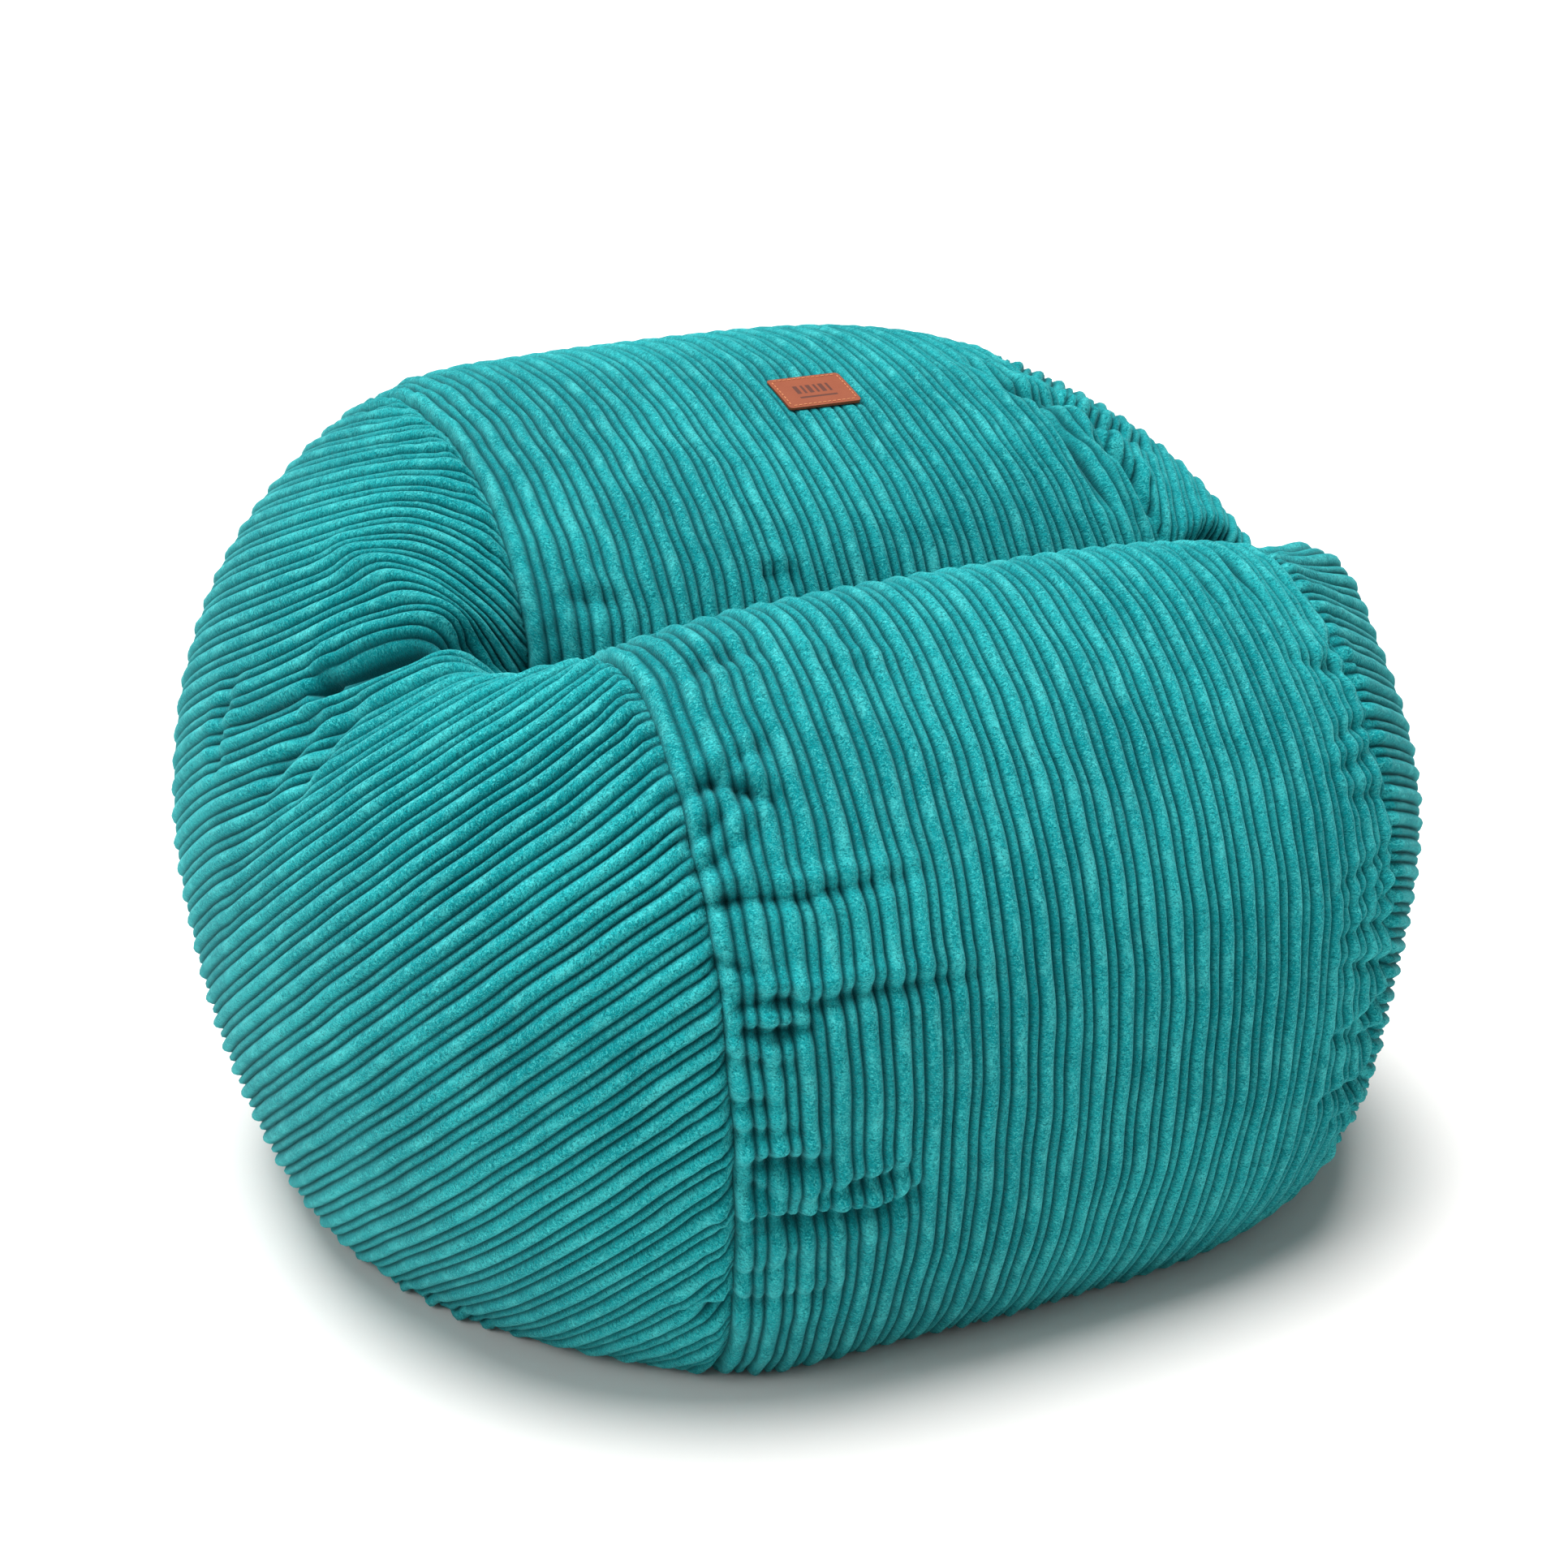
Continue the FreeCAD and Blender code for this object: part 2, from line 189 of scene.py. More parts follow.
def spline_weights(share: Array) -> list[Array]:
    """Catmull-Rom weights of the four points round a place.

    Args:
        share: How far each place lies between the two middle points, from 0 to 1.

    Returns:
        Four weights, each with the shape of share.
    """
    square, cube = share * share, share * share * share
    return [
        0.5 * (-cube + 2.0 * square - share),
        0.5 * (3.0 * cube - 5.0 * square + 2.0),
        0.5 * (-3.0 * cube + 4.0 * square + share),
        0.5 * (cube - square),
    ]


def grid_normals(grid: Array, closed: bool) -> Array:
    """Unit normals of a grid of places, out of the bag.

    Args:
        grid: Places, as rows, columns, coordinates.
        closed: Whether the columns join up.

    Returns:
        Unit normals with the grid's shape.
    """
    down = np.gradient(grid, axis=0)
    if closed:
        along = np.roll(grid, -1, axis=1) - np.roll(grid, 1, axis=1)
    else:
        along = np.gradient(grid, axis=1)
    return unit(np.cross(down, along))


def spread_evenly(grid: Array, headings: Array, rounds: int = 500) -> Array:
    """Find values over a closed grid of places that rise one for one along given headings.

    Args:
        grid: Places, as rows, columns, coordinates; columns join up.
        headings: Unit vectors of steepest rise at each place.
        rounds: Rounds of the conjugate-gradient solution.

    Returns:
        The values, fitted by least squares.
    """
    down, along = np.diff(grid, axis=0), np.roll(grid, -1, axis=1) - grid
    down_rise = ((headings[1:] + headings[:-1]) * down).sum(axis=-1) / 2.0
    along_rise = ((headings + np.roll(headings, -1, axis=1)) * along).sum(axis=-1) / 2.0
    tall = np.maximum(np.linalg.norm(down, axis=-1), LEAST_DOWN)
    wide = np.maximum(np.linalg.norm(along, axis=-1), LEAST_ALONG)
    down_weight = (wide[1:] + wide[:-1]) / 2.0 / tall
    along_weight = np.vstack([tall[:1], (tall[1:] + tall[:-1]) / 2.0, tall[-1:]]) / wide

    def gather(down_part: Array, along_part: Array) -> Array:
        """Sum the weighted parts that meet at each place.

        Args:
            down_part: Values on the steps from row to row.
            along_part: Values on the steps along the rows.

        Returns:
            One sum for each place.
        """
        total = np.roll(along_weight * along_part, 1, axis=1) - along_weight * along_part
        total[1:] += down_weight * down_part
        total[:-1] -= down_weight * down_part
        return total

    def act(values: Array) -> Array:
        """Apply the weighted differences twice."""
        return gather(np.diff(values, axis=0), np.roll(values, -1, axis=1) - values)

    total_weight = along_weight + np.roll(along_weight, 1, axis=1)
    total_weight[1:] += down_weight
    total_weight[:-1] += down_weight
    values = (grid * headings).sum(axis=-1)
    left = gather(down_rise, along_rise) - act(values)
    eased = left / total_weight
    step, strength = eased, (left * eased).sum()
    for _ in range(rounds):
        acted = act(step)
        share = strength / max((step * acted).sum(), LEAST_STRENGTH)
        values = values + share * step
        left = left - share * acted
        eased = left / total_weight
        strength, before = (left * eased).sum(), strength
        step = eased + strength / max(before, LEAST_STRENGTH) * step
    return values


# ---- Shape of the stuffed bag ----------------------------------------------------------------

@dataclass
class Outline:
    """Closed outline of the stuffed cover on its middle plane, as named (y, z) points."""

    base_front: Pair = (-0.358, -0.042)
    lower_front: Pair = (-0.478, 0.117)
    front_belly: Pair = (-0.513, 0.335)
    upper_front: Pair = (-0.452, 0.519)
    seat_top: Pair = (-0.252, 0.640)
    crease_front: Pair = (-0.177, 0.527)
    crease_bottom: Pair = (-0.151, 0.380)
    crease_back: Pair = (-0.133, 0.547)
    back_front: Pair = (0.106, 0.745)
    back_top: Pair = (0.278, 0.746)
    upper_back: Pair = (0.434, 0.664)
    back_belly: Pair = (0.531, 0.412)
    lower_back: Pair = (0.465, 0.147)
    base_back: Pair = (0.355, -0.050)
    crease_tip_radius: float = 0.009
    matching_blur: float = 0.02
    matching_steps: int = 9
    faded_crease: tuple[Pair, ...] = (
        (-0.208, 0.645), (-0.170, 0.644), (-0.136, 0.650), (-0.102, 0.662), (-0.056, 0.687))

    def crease(self) -> list[Pair]:
        """Give the five points of the deep crease, from front to back.

        Returns:
            (y, z) points.
        """
        y, z = self.crease_bottom
        tip = self.crease_tip_radius
        return [self.crease_front, (y - tip, z + tip), (y, z), (y + tip, z + tip), self.crease_back]

    def points(self, faded: bool) -> Array:
        """Give the outline's points, with the crease deep or faded out.

        Args:
            faded: Whether the crease is faded out.

        Returns:
            (y, z) points, one row each.
        """
        front = [self.base_front, self.lower_front, self.front_belly, self.upper_front, self.seat_top]
        back = [self.back_front, self.back_top, self.upper_back, self.back_belly,
                self.lower_back, self.base_back]
        return np.array(front + list(self.faded_crease if faded else self.crease()) + back)

    def knots(self, faded: bool = False) -> Array:
        """Share of the way round at each point, and 1 at the end.

        Args:
            faded: Whether the crease is faded out.

        Returns:
            Rising shares, one more than there are points.
        """
        ring = self.points(faded)
        steps = np.linalg.norm(np.roll(ring, -1, axis=0) - ring, axis=1)
        return np.concatenate([[0.0], np.cumsum(steps)]) / steps.sum()

    def share_of(self, name: str) -> float:
        """Share of the way round at a named point.

        Args:
            name: Name of one of the outline's points.

        Returns:
            The share, from 0 to 1.
        """
        target = np.array(getattr(self, name))
        ring = self.points(faded=False)
        return float(self.knots()[np.linalg.norm(ring - target, axis=1).argmin()])

    def matched(self, shares: Array) -> Array:
        """Shares of the way round the faded outline that match shares round the deep one.

        Args:
            shares: Shares of the way round the deep outline.

        Returns:
            Shares of the way round the faded outline.
        """
        deep = np.concatenate([self.knots()[:-1] + lap for lap in (-1.0, 0.0, 1.0)])
        faded = np.concatenate([self.knots(True)[:-1] + lap for lap in (-1.0, 0.0, 1.0)])
        nearby = np.linspace(-self.matching_blur, self.matching_blur, self.matching_steps)
        around = np.mod(shares, 1.0)
        return sum(np.interp(around + shift, deep, faded) for shift in nearby) / len(nearby)

    def curve(self, faded: bool, shares: Array) -> Array:
        """Read the smooth closed curve through the points.

        Args:
            faded: Whether the crease is faded out.
            shares: Shares of the way round.

        Returns:
            (y, z) places, with the shape of shares.
        """
        ring, knots = self.points(faded), self.knots(faded)
        count = len(ring)
        steps = np.diff(knots)
        matrix = np.zeros((count, count))
        slopes = (np.roll(ring, -1, axis=0) - ring) / steps[:, None]
        for i in range(count):
            matrix[i, i - 1] += steps[i - 1]
            matrix[i, i] += 2.0 * (steps[i - 1] + steps[i])
            matrix[i, (i + 1) % count] += steps[i]
        bend = np.linalg.solve(matrix, 6.0 * (slopes - np.roll(slopes, 1, axis=0)))
        around = np.mod(self.matched(shares) if faded else shares, 1.0)
        span = np.clip(np.searchsorted(knots, around, side="right") - 1, 0, count - 1)
        after = (span + 1) % count
        step = steps[span][..., None]
        near = (around - knots[span])[..., None]
        far = step - near
        return ((bend[span] * far ** 3 + bend[after] * near ** 3) / (6.0 * step)
                + (ring[span] / step - bend[span] * step / 6.0) * far
                + (ring[after] / step - bend[after] * step / 6.0) * near)


@dataclass
class StuffedShape:
    """The bag's round body: sections of one outline that shrink towards two bulging ends."""

    outline: Outline = field(default_factory=Outline)
    left_reach: float = 0.600
    right_reach: float = 0.564
    scale_height: float = 0.295
    end_power: float = 2.83
    end_root: float = 2.47
    seam_x: float = 0.306
    seam_bow: float = 0.034
    seam_bow_height: float = 0.42
    crease_fade_start: float = 0.250
    left_crease_end: float = 0.435
    right_crease_end: float = 0.530
    floor_roll: float = 0.016
    shift_y: float = 0.0
    probes: int = 2000

    def centre_on_footprint(self) -> None:
        """Shift the body so that its middle outline is centred like the frame's box."""
        ring = self.outline.curve(False, np.linspace(0.0, 1.0, self.probes))
        low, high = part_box("cover_wrap_panel")
        self.shift_y = (low[1] + high[1]) / 2.0 - (ring[:, 0].min() + ring[:, 0].max()) / 2.0

    def reach(self, x: Array) -> Array:
        """How far the end on that side bulges."""
        return np.where(x < 0.0, self.left_reach, self.right_reach)

    def scale_at(self, x: Array) -> Array:
        """Scale of the section at x."""
        share = np.minimum(np.abs(x) / self.reach(x), 1.0)
        return (1.0 - share ** self.end_power) ** (1.0 / self.end_root)

    def x_at(self, scale: Array, side: int) -> Array:
        """Place along X where a section has that scale, on side -1 or 1."""
        reach = self.left_reach if side < 0 else self.right_reach
        return side * reach * (1.0 - scale ** self.end_root) ** (1.0 / self.end_power)

    def seam_at(self, around: Array) -> Array:
        """Distance of the two seams from the middle plane, all the way round.

        Args:
            around: Shares of the way round.

        Returns:
            One distance for each share.
        """
        height = self.outline.curve(False, around)[..., 1]
        lift = np.clip(1.0 - ((height - self.seam_bow_height) / self.seam_bow_height) ** 2, 0.0, 1.0)
        return self.seam_x + self.seam_bow * lift

    def places(self, x: Array, scale: Array, around: Array, creased: bool = True) -> Array:
        """Places on the body before the floor flattens it.

        Args:
            x: Distances along X.
            scale: Scale of the section at each.
            around: Share of the way round the outline.
            creased: Whether the crease is there, or faded out everywhere.

        Returns:
            (x, y, z) places.
        """
        crease_end = np.where(x < 0.0, self.left_crease_end, self.right_crease_end)
        share = (np.abs(x) - self.crease_fade_start) / (crease_end - self.crease_fade_start)
        fade = smooth_step(share)[..., None]
        if not creased:
            fade = np.ones_like(fade)
        deep, faded = self.outline.curve(False, around), self.outline.curve(True, around)
        ring = deep + fade * (faded - deep)
        y = ring[..., 0] * scale + self.shift_y
        z = self.scale_height + (ring[..., 1] - self.scale_height) * scale
        return np.stack([x, y, z], axis=-1)

    def rest_on_floor(self, places: Array) -> Array:
        """Flatten what would lie under the floor, with a soft roll at the edge.

        Args:
            places: Places on the free body.

        Returns:
            The places, none of them under the floor.
        """
        resting = places.copy()
        z = places[..., 2]
        resting[..., 2] = 0.5 * (z + np.sqrt(z * z + self.floor_roll ** 2))
        return resting


@dataclass(frozen=True)
class Swell:
    """A place where the filling pushes the cover out, or leaves it slack if the height is negative."""

    middle: Place
    radius: float
    height: float

    def push(self, places: Array) -> Array:
        """How far each place moves out along its normal."""
        distance = np.linalg.norm(places - np.array(self.middle), axis=-1)
        return self.height * np.exp(-(distance / self.radius) ** 2)


SWELLS = (
    # Right end of the seat, where the fold squeezes the foam up and out
    Swell((0.450, -0.190, 0.560), 0.075, 0.029),
    # Front edge where the bag rests on the floor
    Swell((0.200, -0.440, 0.060), 0.160, 0.022),
    Swell((-0.050, -0.450, 0.040), 0.160, 0.015),
    Swell((-0.280, -0.410, 0.030), 0.100, 0.018),
    Swell((0.360, -0.400, 0.060), 0.100, 0.006),
    # Left shoulder of the back lobe
    Swell((-0.300, 0.270, 0.700), 0.110, 0.014),
    # Slack places
    Swell((-0.520, -0.220, 0.080), 0.120, -0.014),
    Swell((-0.575, 0.080, 0.140), 0.130, -0.009),
    Swell((-0.500, 0.220, 0.520), 0.120, -0.005),
    Swell((0.460, -0.340, 0.420), 0.140, -0.007),
    Swell((0.440, -0.390, 0.220), 0.120, -0.014),
    Swell((0.320, 0.100, 0.700), 0.100, -0.008),
)


class Span(Enum):
    """The three spans of the cover, by side."""

    LEFT = -1
    MIDDLE = 0
    RIGHT = 1


@dataclass
class Cage:
    """A grid of places over the whole cover: rows run along X, columns all the way round."""

    shape: StuffedShape
    columns: int = 176
    middle_rows: int = 36
    end_rows: int = 30
    profile_steps: int = 400
    label_reach: float = 0.16
    label_flat: float = 0.03
    probe_lift: float = 0.03
    rows: dict[Span, slice] = field(default_factory=dict)
    free: Array = field(default_factory=lambda: np.zeros(0))
    places: Array = field(default_factory=lambda: np.zeros(0))

    def build(self) -> None:
        """Lay the grid on the stuffed shape."""
        around = np.arange(self.columns) / self.columns
        seam = self.shape.seam_at(around)
        left = self.end_grid(-1, around, seam)[::-1]
        right = self.end_grid(1, around, seam)
        across = np.linspace(-1.0, 1.0, self.middle_rows + 1)[:, None]
        x = across * seam
        middle = self.shape.places(x, self.shape.scale_at(x), np.broadcast_to(around, x.shape))
        self.free = np.concatenate([left[:-1], middle, right[1:]])
        self.places = self.shape.rest_on_floor(self.free)
        pushed = sum(swell.push(self.places) for swell in SWELLS)
        swollen = self.places + self.normals() * pushed[..., None]
        self.places = np.where(self.free[..., 2:] > 0.0, swollen, self.places)
        self.places[..., 2] = np.maximum(self.places[..., 2], 0.0)
        self.seat_label()
        end, total = self.end_rows, len(self.free)
        self.rows = {
            Span.LEFT: slice(0, end + 1),
            Span.MIDDLE: slice(end, end + self.middle_rows + 1),
            Span.RIGHT: slice(total - end - 1, total),
        }

    def seat_label(self) -> None:
        """Bring the cover round the label to the frame's own cover, where the label is sewn on."""
        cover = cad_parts["cover_wrap_panel"].data
        sewn = BVHTree.FromPolygons([corner.co.copy() for corner in cover.vertices],
                                    [tuple(face.vertices) for face in cover.polygons])
        low, high = (np.array(corner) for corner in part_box("label_patch"))
        outside = np.maximum(np.maximum(low - self.places, self.places - high), 0.0)
        distance = np.linalg.norm(outside, axis=-1)
        normals, lift, flat = self.normals(), self.probe_lift, self.label_flat
        for i, j in zip(*np.nonzero(distance < self.label_reach)):
            place, out = Vector(self.places[i, j]), Vector(normals[i, j])
            hit, _, _, depth = sewn.ray_cast(place + out * lift, -out, 2.0 * lift)
            if hit is not None:
                share = 1.0 - float(smooth_step((distance[i, j] - flat) / (self.label_reach - flat)))
                self.places[i, j] += normals[i, j] * (lift - depth) * share

    def end_grid(self, side: int, around: Array, seam: Array, creased: bool = True) -> Array:
        """Lay the rows of one end, from its seam to its pole, about evenly spaced over the surface.

        Args:
            side: -1 for the left end or 1 for the right.
            around: Shares of the way round.
            seam: Distance of the seam from the middle at each share.
            creased: Whether the crease is there, or faded out everywhere.

        Returns:
            Places, as rows, columns, coordinates.
        """
        scales = np.linspace(1.0, 0.0, self.profile_steps)
        profile = np.stack([self.shape.x_at(scales, 1), 0.5 * scales], axis=-1)
        length = np.concatenate([[0.0], np.cumsum(np.linalg.norm(np.diff(profile, axis=0), axis=1))])
        grid = np.zeros((self.end_rows + 1, self.columns, 3))
        for j, (share, x) in enumerate(zip(around, seam)):
            first = np.interp(x, profile[:, 0], length)
            wanted = np.linspace(first, length[-1], self.end_rows + 1)
            scale = np.interp(wanted, length, scales)
            start = self.shape.scale_at(np.array(side * x))
            scale *= float(start) / scale[0]
            x = self.shape.x_at(scale, side)
            grid[:, j] = self.shape.places(x, scale, np.full(scale.shape, share), creased)
        return grid

    def normals(self) -> Array:
        """Unit normals of the cover; the poles, where the rows close up, point along X.

        Returns:
            Unit normals with the grid's shape.
        """
        out = grid_normals(self.places, closed=True)
        for row in range(3):
            out[row] = (-1.0, 0.0, 0.0)
            out[-1 - row] = (1.0, 0.0, 0.0)
        return out

    def span(self, which: Span) -> tuple[Array, Array]:
        """Give a span's resting places and the places before the floor flattened it."""
        return self.places[self.rows[which]], self.free[self.rows[which]]


# ---- Drape -----------------------------------------------------------------------------------

@dataclass
class Drape:
    """Cloth simulation of the whole cover: it swells a little, sags and wrinkles at its seams."""

    pressure: float = 4.0
    gravity: float = 0.35
    slack: float = -0.035
    frames: int = 18
    farthest: float = 0.014
    pin_height: float = 0.02
    seam_hold: float = 0.9
    still_reach: float = 0.03
    quality: int = 6
    mass: float = 0.4
    tension: float = 20.0
    compression: float = 8.0
    shear: float = 5.0
    bending: float = 0.4

    def run(self, cage: Cage) -> None:
        """Let the cover settle, and keep the result in the cage.

        Args:
            cage: The cover's grid, whose places are changed.
        """
        start = cage.places.copy()
        rows, columns = start.shape[:2]
        piece = mesh_piece("drape_cloth", start.reshape(-1, 3), grid_faces(rows, columns, closed=True))
        held = piece.vertex_groups.new(name="held")
        weights = self.hold_weights(cage)
        for level in np.unique(weights):
            chosen = np.flatnonzero(weights.ravel() == level)
            if level > 0.0:
                held.add(chosen.tolist(), float(level), "REPLACE")
        cloth = piece.modifiers.new("cloth", "CLOTH").settings
        cloth.quality = self.quality
        cloth.mass = self.mass
        cloth.tension_stiffness = self.tension
        cloth.compression_stiffness = self.compression
        cloth.shear_stiffness = self.shear
        cloth.bending_stiffness = self.bending
        cloth.shrink_min = self.slack
        cloth.use_pressure = True
        cloth.uniform_pressure_force = self.pressure
        cloth.vertex_group_mass = "held"
        cloth.pin_stiffness = 1.0
        cloth.effector_weights.gravity = self.gravity
        scene = bpy.context.scene
        for step in range(1, self.frames + 1):
            scene.frame_set(step)
        settled = piece.evaluated_get(bpy.context.evaluated_depsgraph_get()).to_mesh()
        found = np.zeros(start.size, dtype=np.float32)
        settled.vertices.foreach_get("co", found)
        scene.frame_set(1)
        bpy.data.objects.remove(piece)
        moved = found.reshape(start.shape) - start
        length = np.linalg.norm(moved, axis=-1, keepdims=True)
        LOG.info("drape moved the cover by up to %.4f m", float(length.max()))
        limited = moved * np.tanh(length / self.farthest) * self.farthest
        cage.places = start + limited / np.maximum(length, LEAST_LENGTH)

    def hold_weights(self, cage: Cage) -> Array:
        """How firmly each place is held: the seams, the underside and the zip hardly move.

        Args:
            cage: The cover's grid.

        Returns:
            Weights from 0, free, to 1, held.
        """
        weights = np.zeros(cage.places.shape[:2])
        for which in (Span.LEFT, Span.RIGHT):
            rows = cage.rows[which]
            weights[rows.stop - 1 if which is Span.LEFT else rows.start] = self.seam_hold
        weights[cage.free[..., 2] < self.pin_height] = 1.0
        for node in ("label_patch", "zip_upper_tape"):
            low, high = (np.array(corner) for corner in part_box(node))
            beside = (cage.places > low - self.still_reach) & (cage.places < high + self.still_reach)
            weights[beside.all(axis=-1)] = 1.0
        return weights


# ---- Ribbed cloth ----------------------------------------------------------------------------

@dataclass
class RibbedCloth:
    """Plush with one thick and one thin rib in each repeat."""

    repeat: float = 0.024
    thick_share: float = 0.63
    thick_height: float = 0.0072
    thin_height: float = 0.0050
    thick_stops: tuple[float, ...] = (0.0, 0.045, 0.14, 0.30, 0.5, 0.70, 0.86, 0.955)
    thin_stops: tuple[float, ...] = (0.0, 0.09, 0.31, 0.69, 0.91)
    fullness: float = 2.1
    roundness: float = 1.30
    rib_width: float = 0.93

    def stops(self, count: int) -> Array:
        """Places across the ribs where vertices lie, counted in repeats.

        Args:
            count: Number of repeats.

        Returns:
            Rising places, from 0 to count.
        """
        thick = [self.thick_share * stop for stop in self.thick_stops]
        thin = [self.thick_share + (1.0 - self.thick_share) * stop for stop in self.thin_stops]
        one = np.array(thick + thin)
        return np.concatenate([(np.arange(count)[:, None] + one).ravel(), [float(count)]])

    def crown(self, repeats: Array) -> Array:
        """Height of the pile from 0 in the valleys to 1 on a thick rib.

        Args:
            repeats: Places across the ribs, counted in repeats.

        Returns:
            Heights as shares of the thick rib's height.
        """
        place = np.mod(repeats, 1.0)
        thick = place < self.thick_share
        over = (place - self.thick_share) / (1.0 - self.thick_share)
        inside = np.where(thick, place / self.thick_share, over)
        reach = np.minimum(np.abs(2.0 * inside - 1.0) / self.rib_width, 1.0)
        dome = (1.0 - reach ** self.fullness) ** (1.0 / self.roundness)
        return np.where(thick, dome, dome * self.thin_height / self.thick_height)


class FoldKind(Enum):
    """Shape of a fold across its path."""

    DENT = "dent"
    TUCK = "tuck"


class FoldEnds(Enum):
    """Where a fold dies out."""

    BOTH = "both"
    FAR = "far"


@dataclass(frozen=True)
class Roll:
    """A soft roll of cloth beside a fold: its height, and its place and spread in fold widths."""

    height: float
    place: float
    spread: float

    def at(self, reach: Array) -> Array:
        """Height of the roll at a distance from the fold."""
        return self.height * np.exp(-((reach - self.place) / self.spread) ** 2)


@dataclass(frozen=True)
class Fold:
    """A fold in the cover along a path: an even dent, or a sharp tuck under a fuller roll."""

    path: tuple[Place, ...]
    depth: float
    width: float = 0.007
    kind: FoldKind = FoldKind.DENT
    ends: FoldEnds = FoldEnds.BOTH
    lip: float = 0.35
    lip_place: float = 1.9
    upper_roll: Roll = Roll(0.55, 2.0, 1.3)
    lower_roll: Roll = Roll(0.2, -2.8, 1.6)
    sharpness: float = 1.3
    far_power: float = 0.8
    both_power: float = 0.6
    margin: float = 5.0
    piece_length: float = 0.015
    wander: float = 0.004
    wandering: Ripple = Ripple(0.05, 61)

    def laid_on(self, cover: BVHTree) -> "Fold":
        """Lay the path on the cover.

        Args:
            cover: The smooth cover's surface.

        Returns:
            The same fold with a finer path that follows the surface.
        """
        nodes = np.array(self.path)
        lengths = np.concatenate([[0.0], np.cumsum(np.linalg.norm(np.diff(nodes, axis=0), axis=1))])
        count = max(int(lengths[-1] / self.piece_length), 2)
        wanted = np.linspace(0.0, lengths[-1], count + 1)
        fine = np.stack([np.interp(wanted, lengths, nodes[:, i]) for i in range(3)], axis=-1)
        fine[:, 2] += self.wander * self.wandering.at(fine)
        laid = tuple(tuple(cover.find_nearest(Vector(place))[0]) for place in fine.tolist())
        return replace(self, path=laid)

    def push(self, places: Array) -> Array:
        """How far each place moves out along its normal.

        Args:
            places: Places on the smooth cover, one row each.

        Returns:
            One distance for each place.
        """
        nodes = np.array(self.path)
        margin = self.margin * self.width
        near = np.flatnonzero(((places > nodes.min(axis=0) - margin)
                               & (places < nodes.max(axis=0) + margin)).all(axis=1))
        spots = places[near]
        best, run, rise = np.full(len(near), np.inf), np.zeros(len(near)), np.zeros(len(near))
        lengths = np.linalg.norm(np.diff(nodes, axis=0), axis=1)
        before = 0.0
        for start, end, length in zip(nodes[:-1], nodes[1:], lengths):
            along = (end - start) / max(length, LEAST_LENGTH)
            share = np.clip((spots - start) @ along, 0.0, length)
            away = spots - start - share[:, None] * along
            gap = np.linalg.norm(away, axis=1)
            nearer = gap < best
            best = np.where(nearer, gap, best)
            run = np.where(nearer, before + share, run)
            rise = np.where(nearer, away[:, 2], rise)
            before += length
        total = np.zeros(len(places))
        strength = self.depth * self.fade(run / before)
        total[near] = self.profile(best / self.width, np.sign(rise)) * strength
        return total

    def fade(self, share: Array) -> Array:
        """Strength of the fold along its path.

        Args:
            share: Shares of the path's length.

        Returns:
            Strengths from 0 to 1.
        """
        if self.ends is FoldEnds.FAR:
            return np.cos(np.clip(share, 0.0, 1.0) * math.pi / 2.0) ** self.far_power
        return np.sin(np.clip(share, 0.0, 1.0) * math.pi) ** self.both_power

    def profile(self, reach: Array, side: Array) -> Array:
        """Height across the path, as a share of the depth.

        Args:
            reach: Distances from the path, in fold widths.
            side: 1 above the path and -1 below it.

        Returns:
            Heights as shares of the depth.
        """
        if self.kind is FoldKind.DENT:
            return self.lip * np.exp(-(reach - self.lip_place) ** 2) - np.exp(-reach ** 2)
        above = np.where(side > 0.0, reach, -reach)
        return self.upper_roll.at(above) + self.lower_roll.at(above) - np.exp(-reach ** self.sharpness)


@dataclass(frozen=True)
class Gathers:
    """A run of tucks that start at a seam on the front and die out over the wrap panel."""

    side: int
    low: float
    high: float
    count: int
    depth: Pair
    reach: Pair
    seed: int
    width: float = 0.0065
    spacing: Pair = (0.15, 0.85)
    tilt: Pair = (-0.012, 0.010)
    seam_inset: float = 0.003
    probes: int = 600

    def folds(self, shape: StuffedShape) -> list[Fold]:
        """Place the tucks at uneven heights.

        Args:
            shape: The stuffed shape that carries the seam.

        Returns:
            The tucks as folds.
        """
        outline = shape.outline
        probe = np.linspace(0.0, outline.share_of("seat_top"), self.probes)
        heights = outline.curve(False, probe)[:, 1]
        draw = np.random.default_rng(self.seed)
        made = []
        for i in range(self.count):
            height = self.low + (self.high - self.low) * (i + draw.uniform(*self.spacing)) / self.count
            share = probe[np.abs(heights - height).argmin()]
            reach, tilt = draw.uniform(*self.reach), draw.uniform(*self.tilt)
            shares = share + tilt * np.linspace(0.0, 1.0, 4)
            x = self.side * (shape.seam_at(shares) - self.seam_inset - reach * np.linspace(0.0, 1.0, 4))
            path = shape.rest_on_floor(shape.places(x, shape.scale_at(x), shares))
            made.append(Fold(tuple(map(tuple, path.tolist())), draw.uniform(*self.depth), self.width,
                             FoldKind.TUCK, FoldEnds.FAR))
        return made


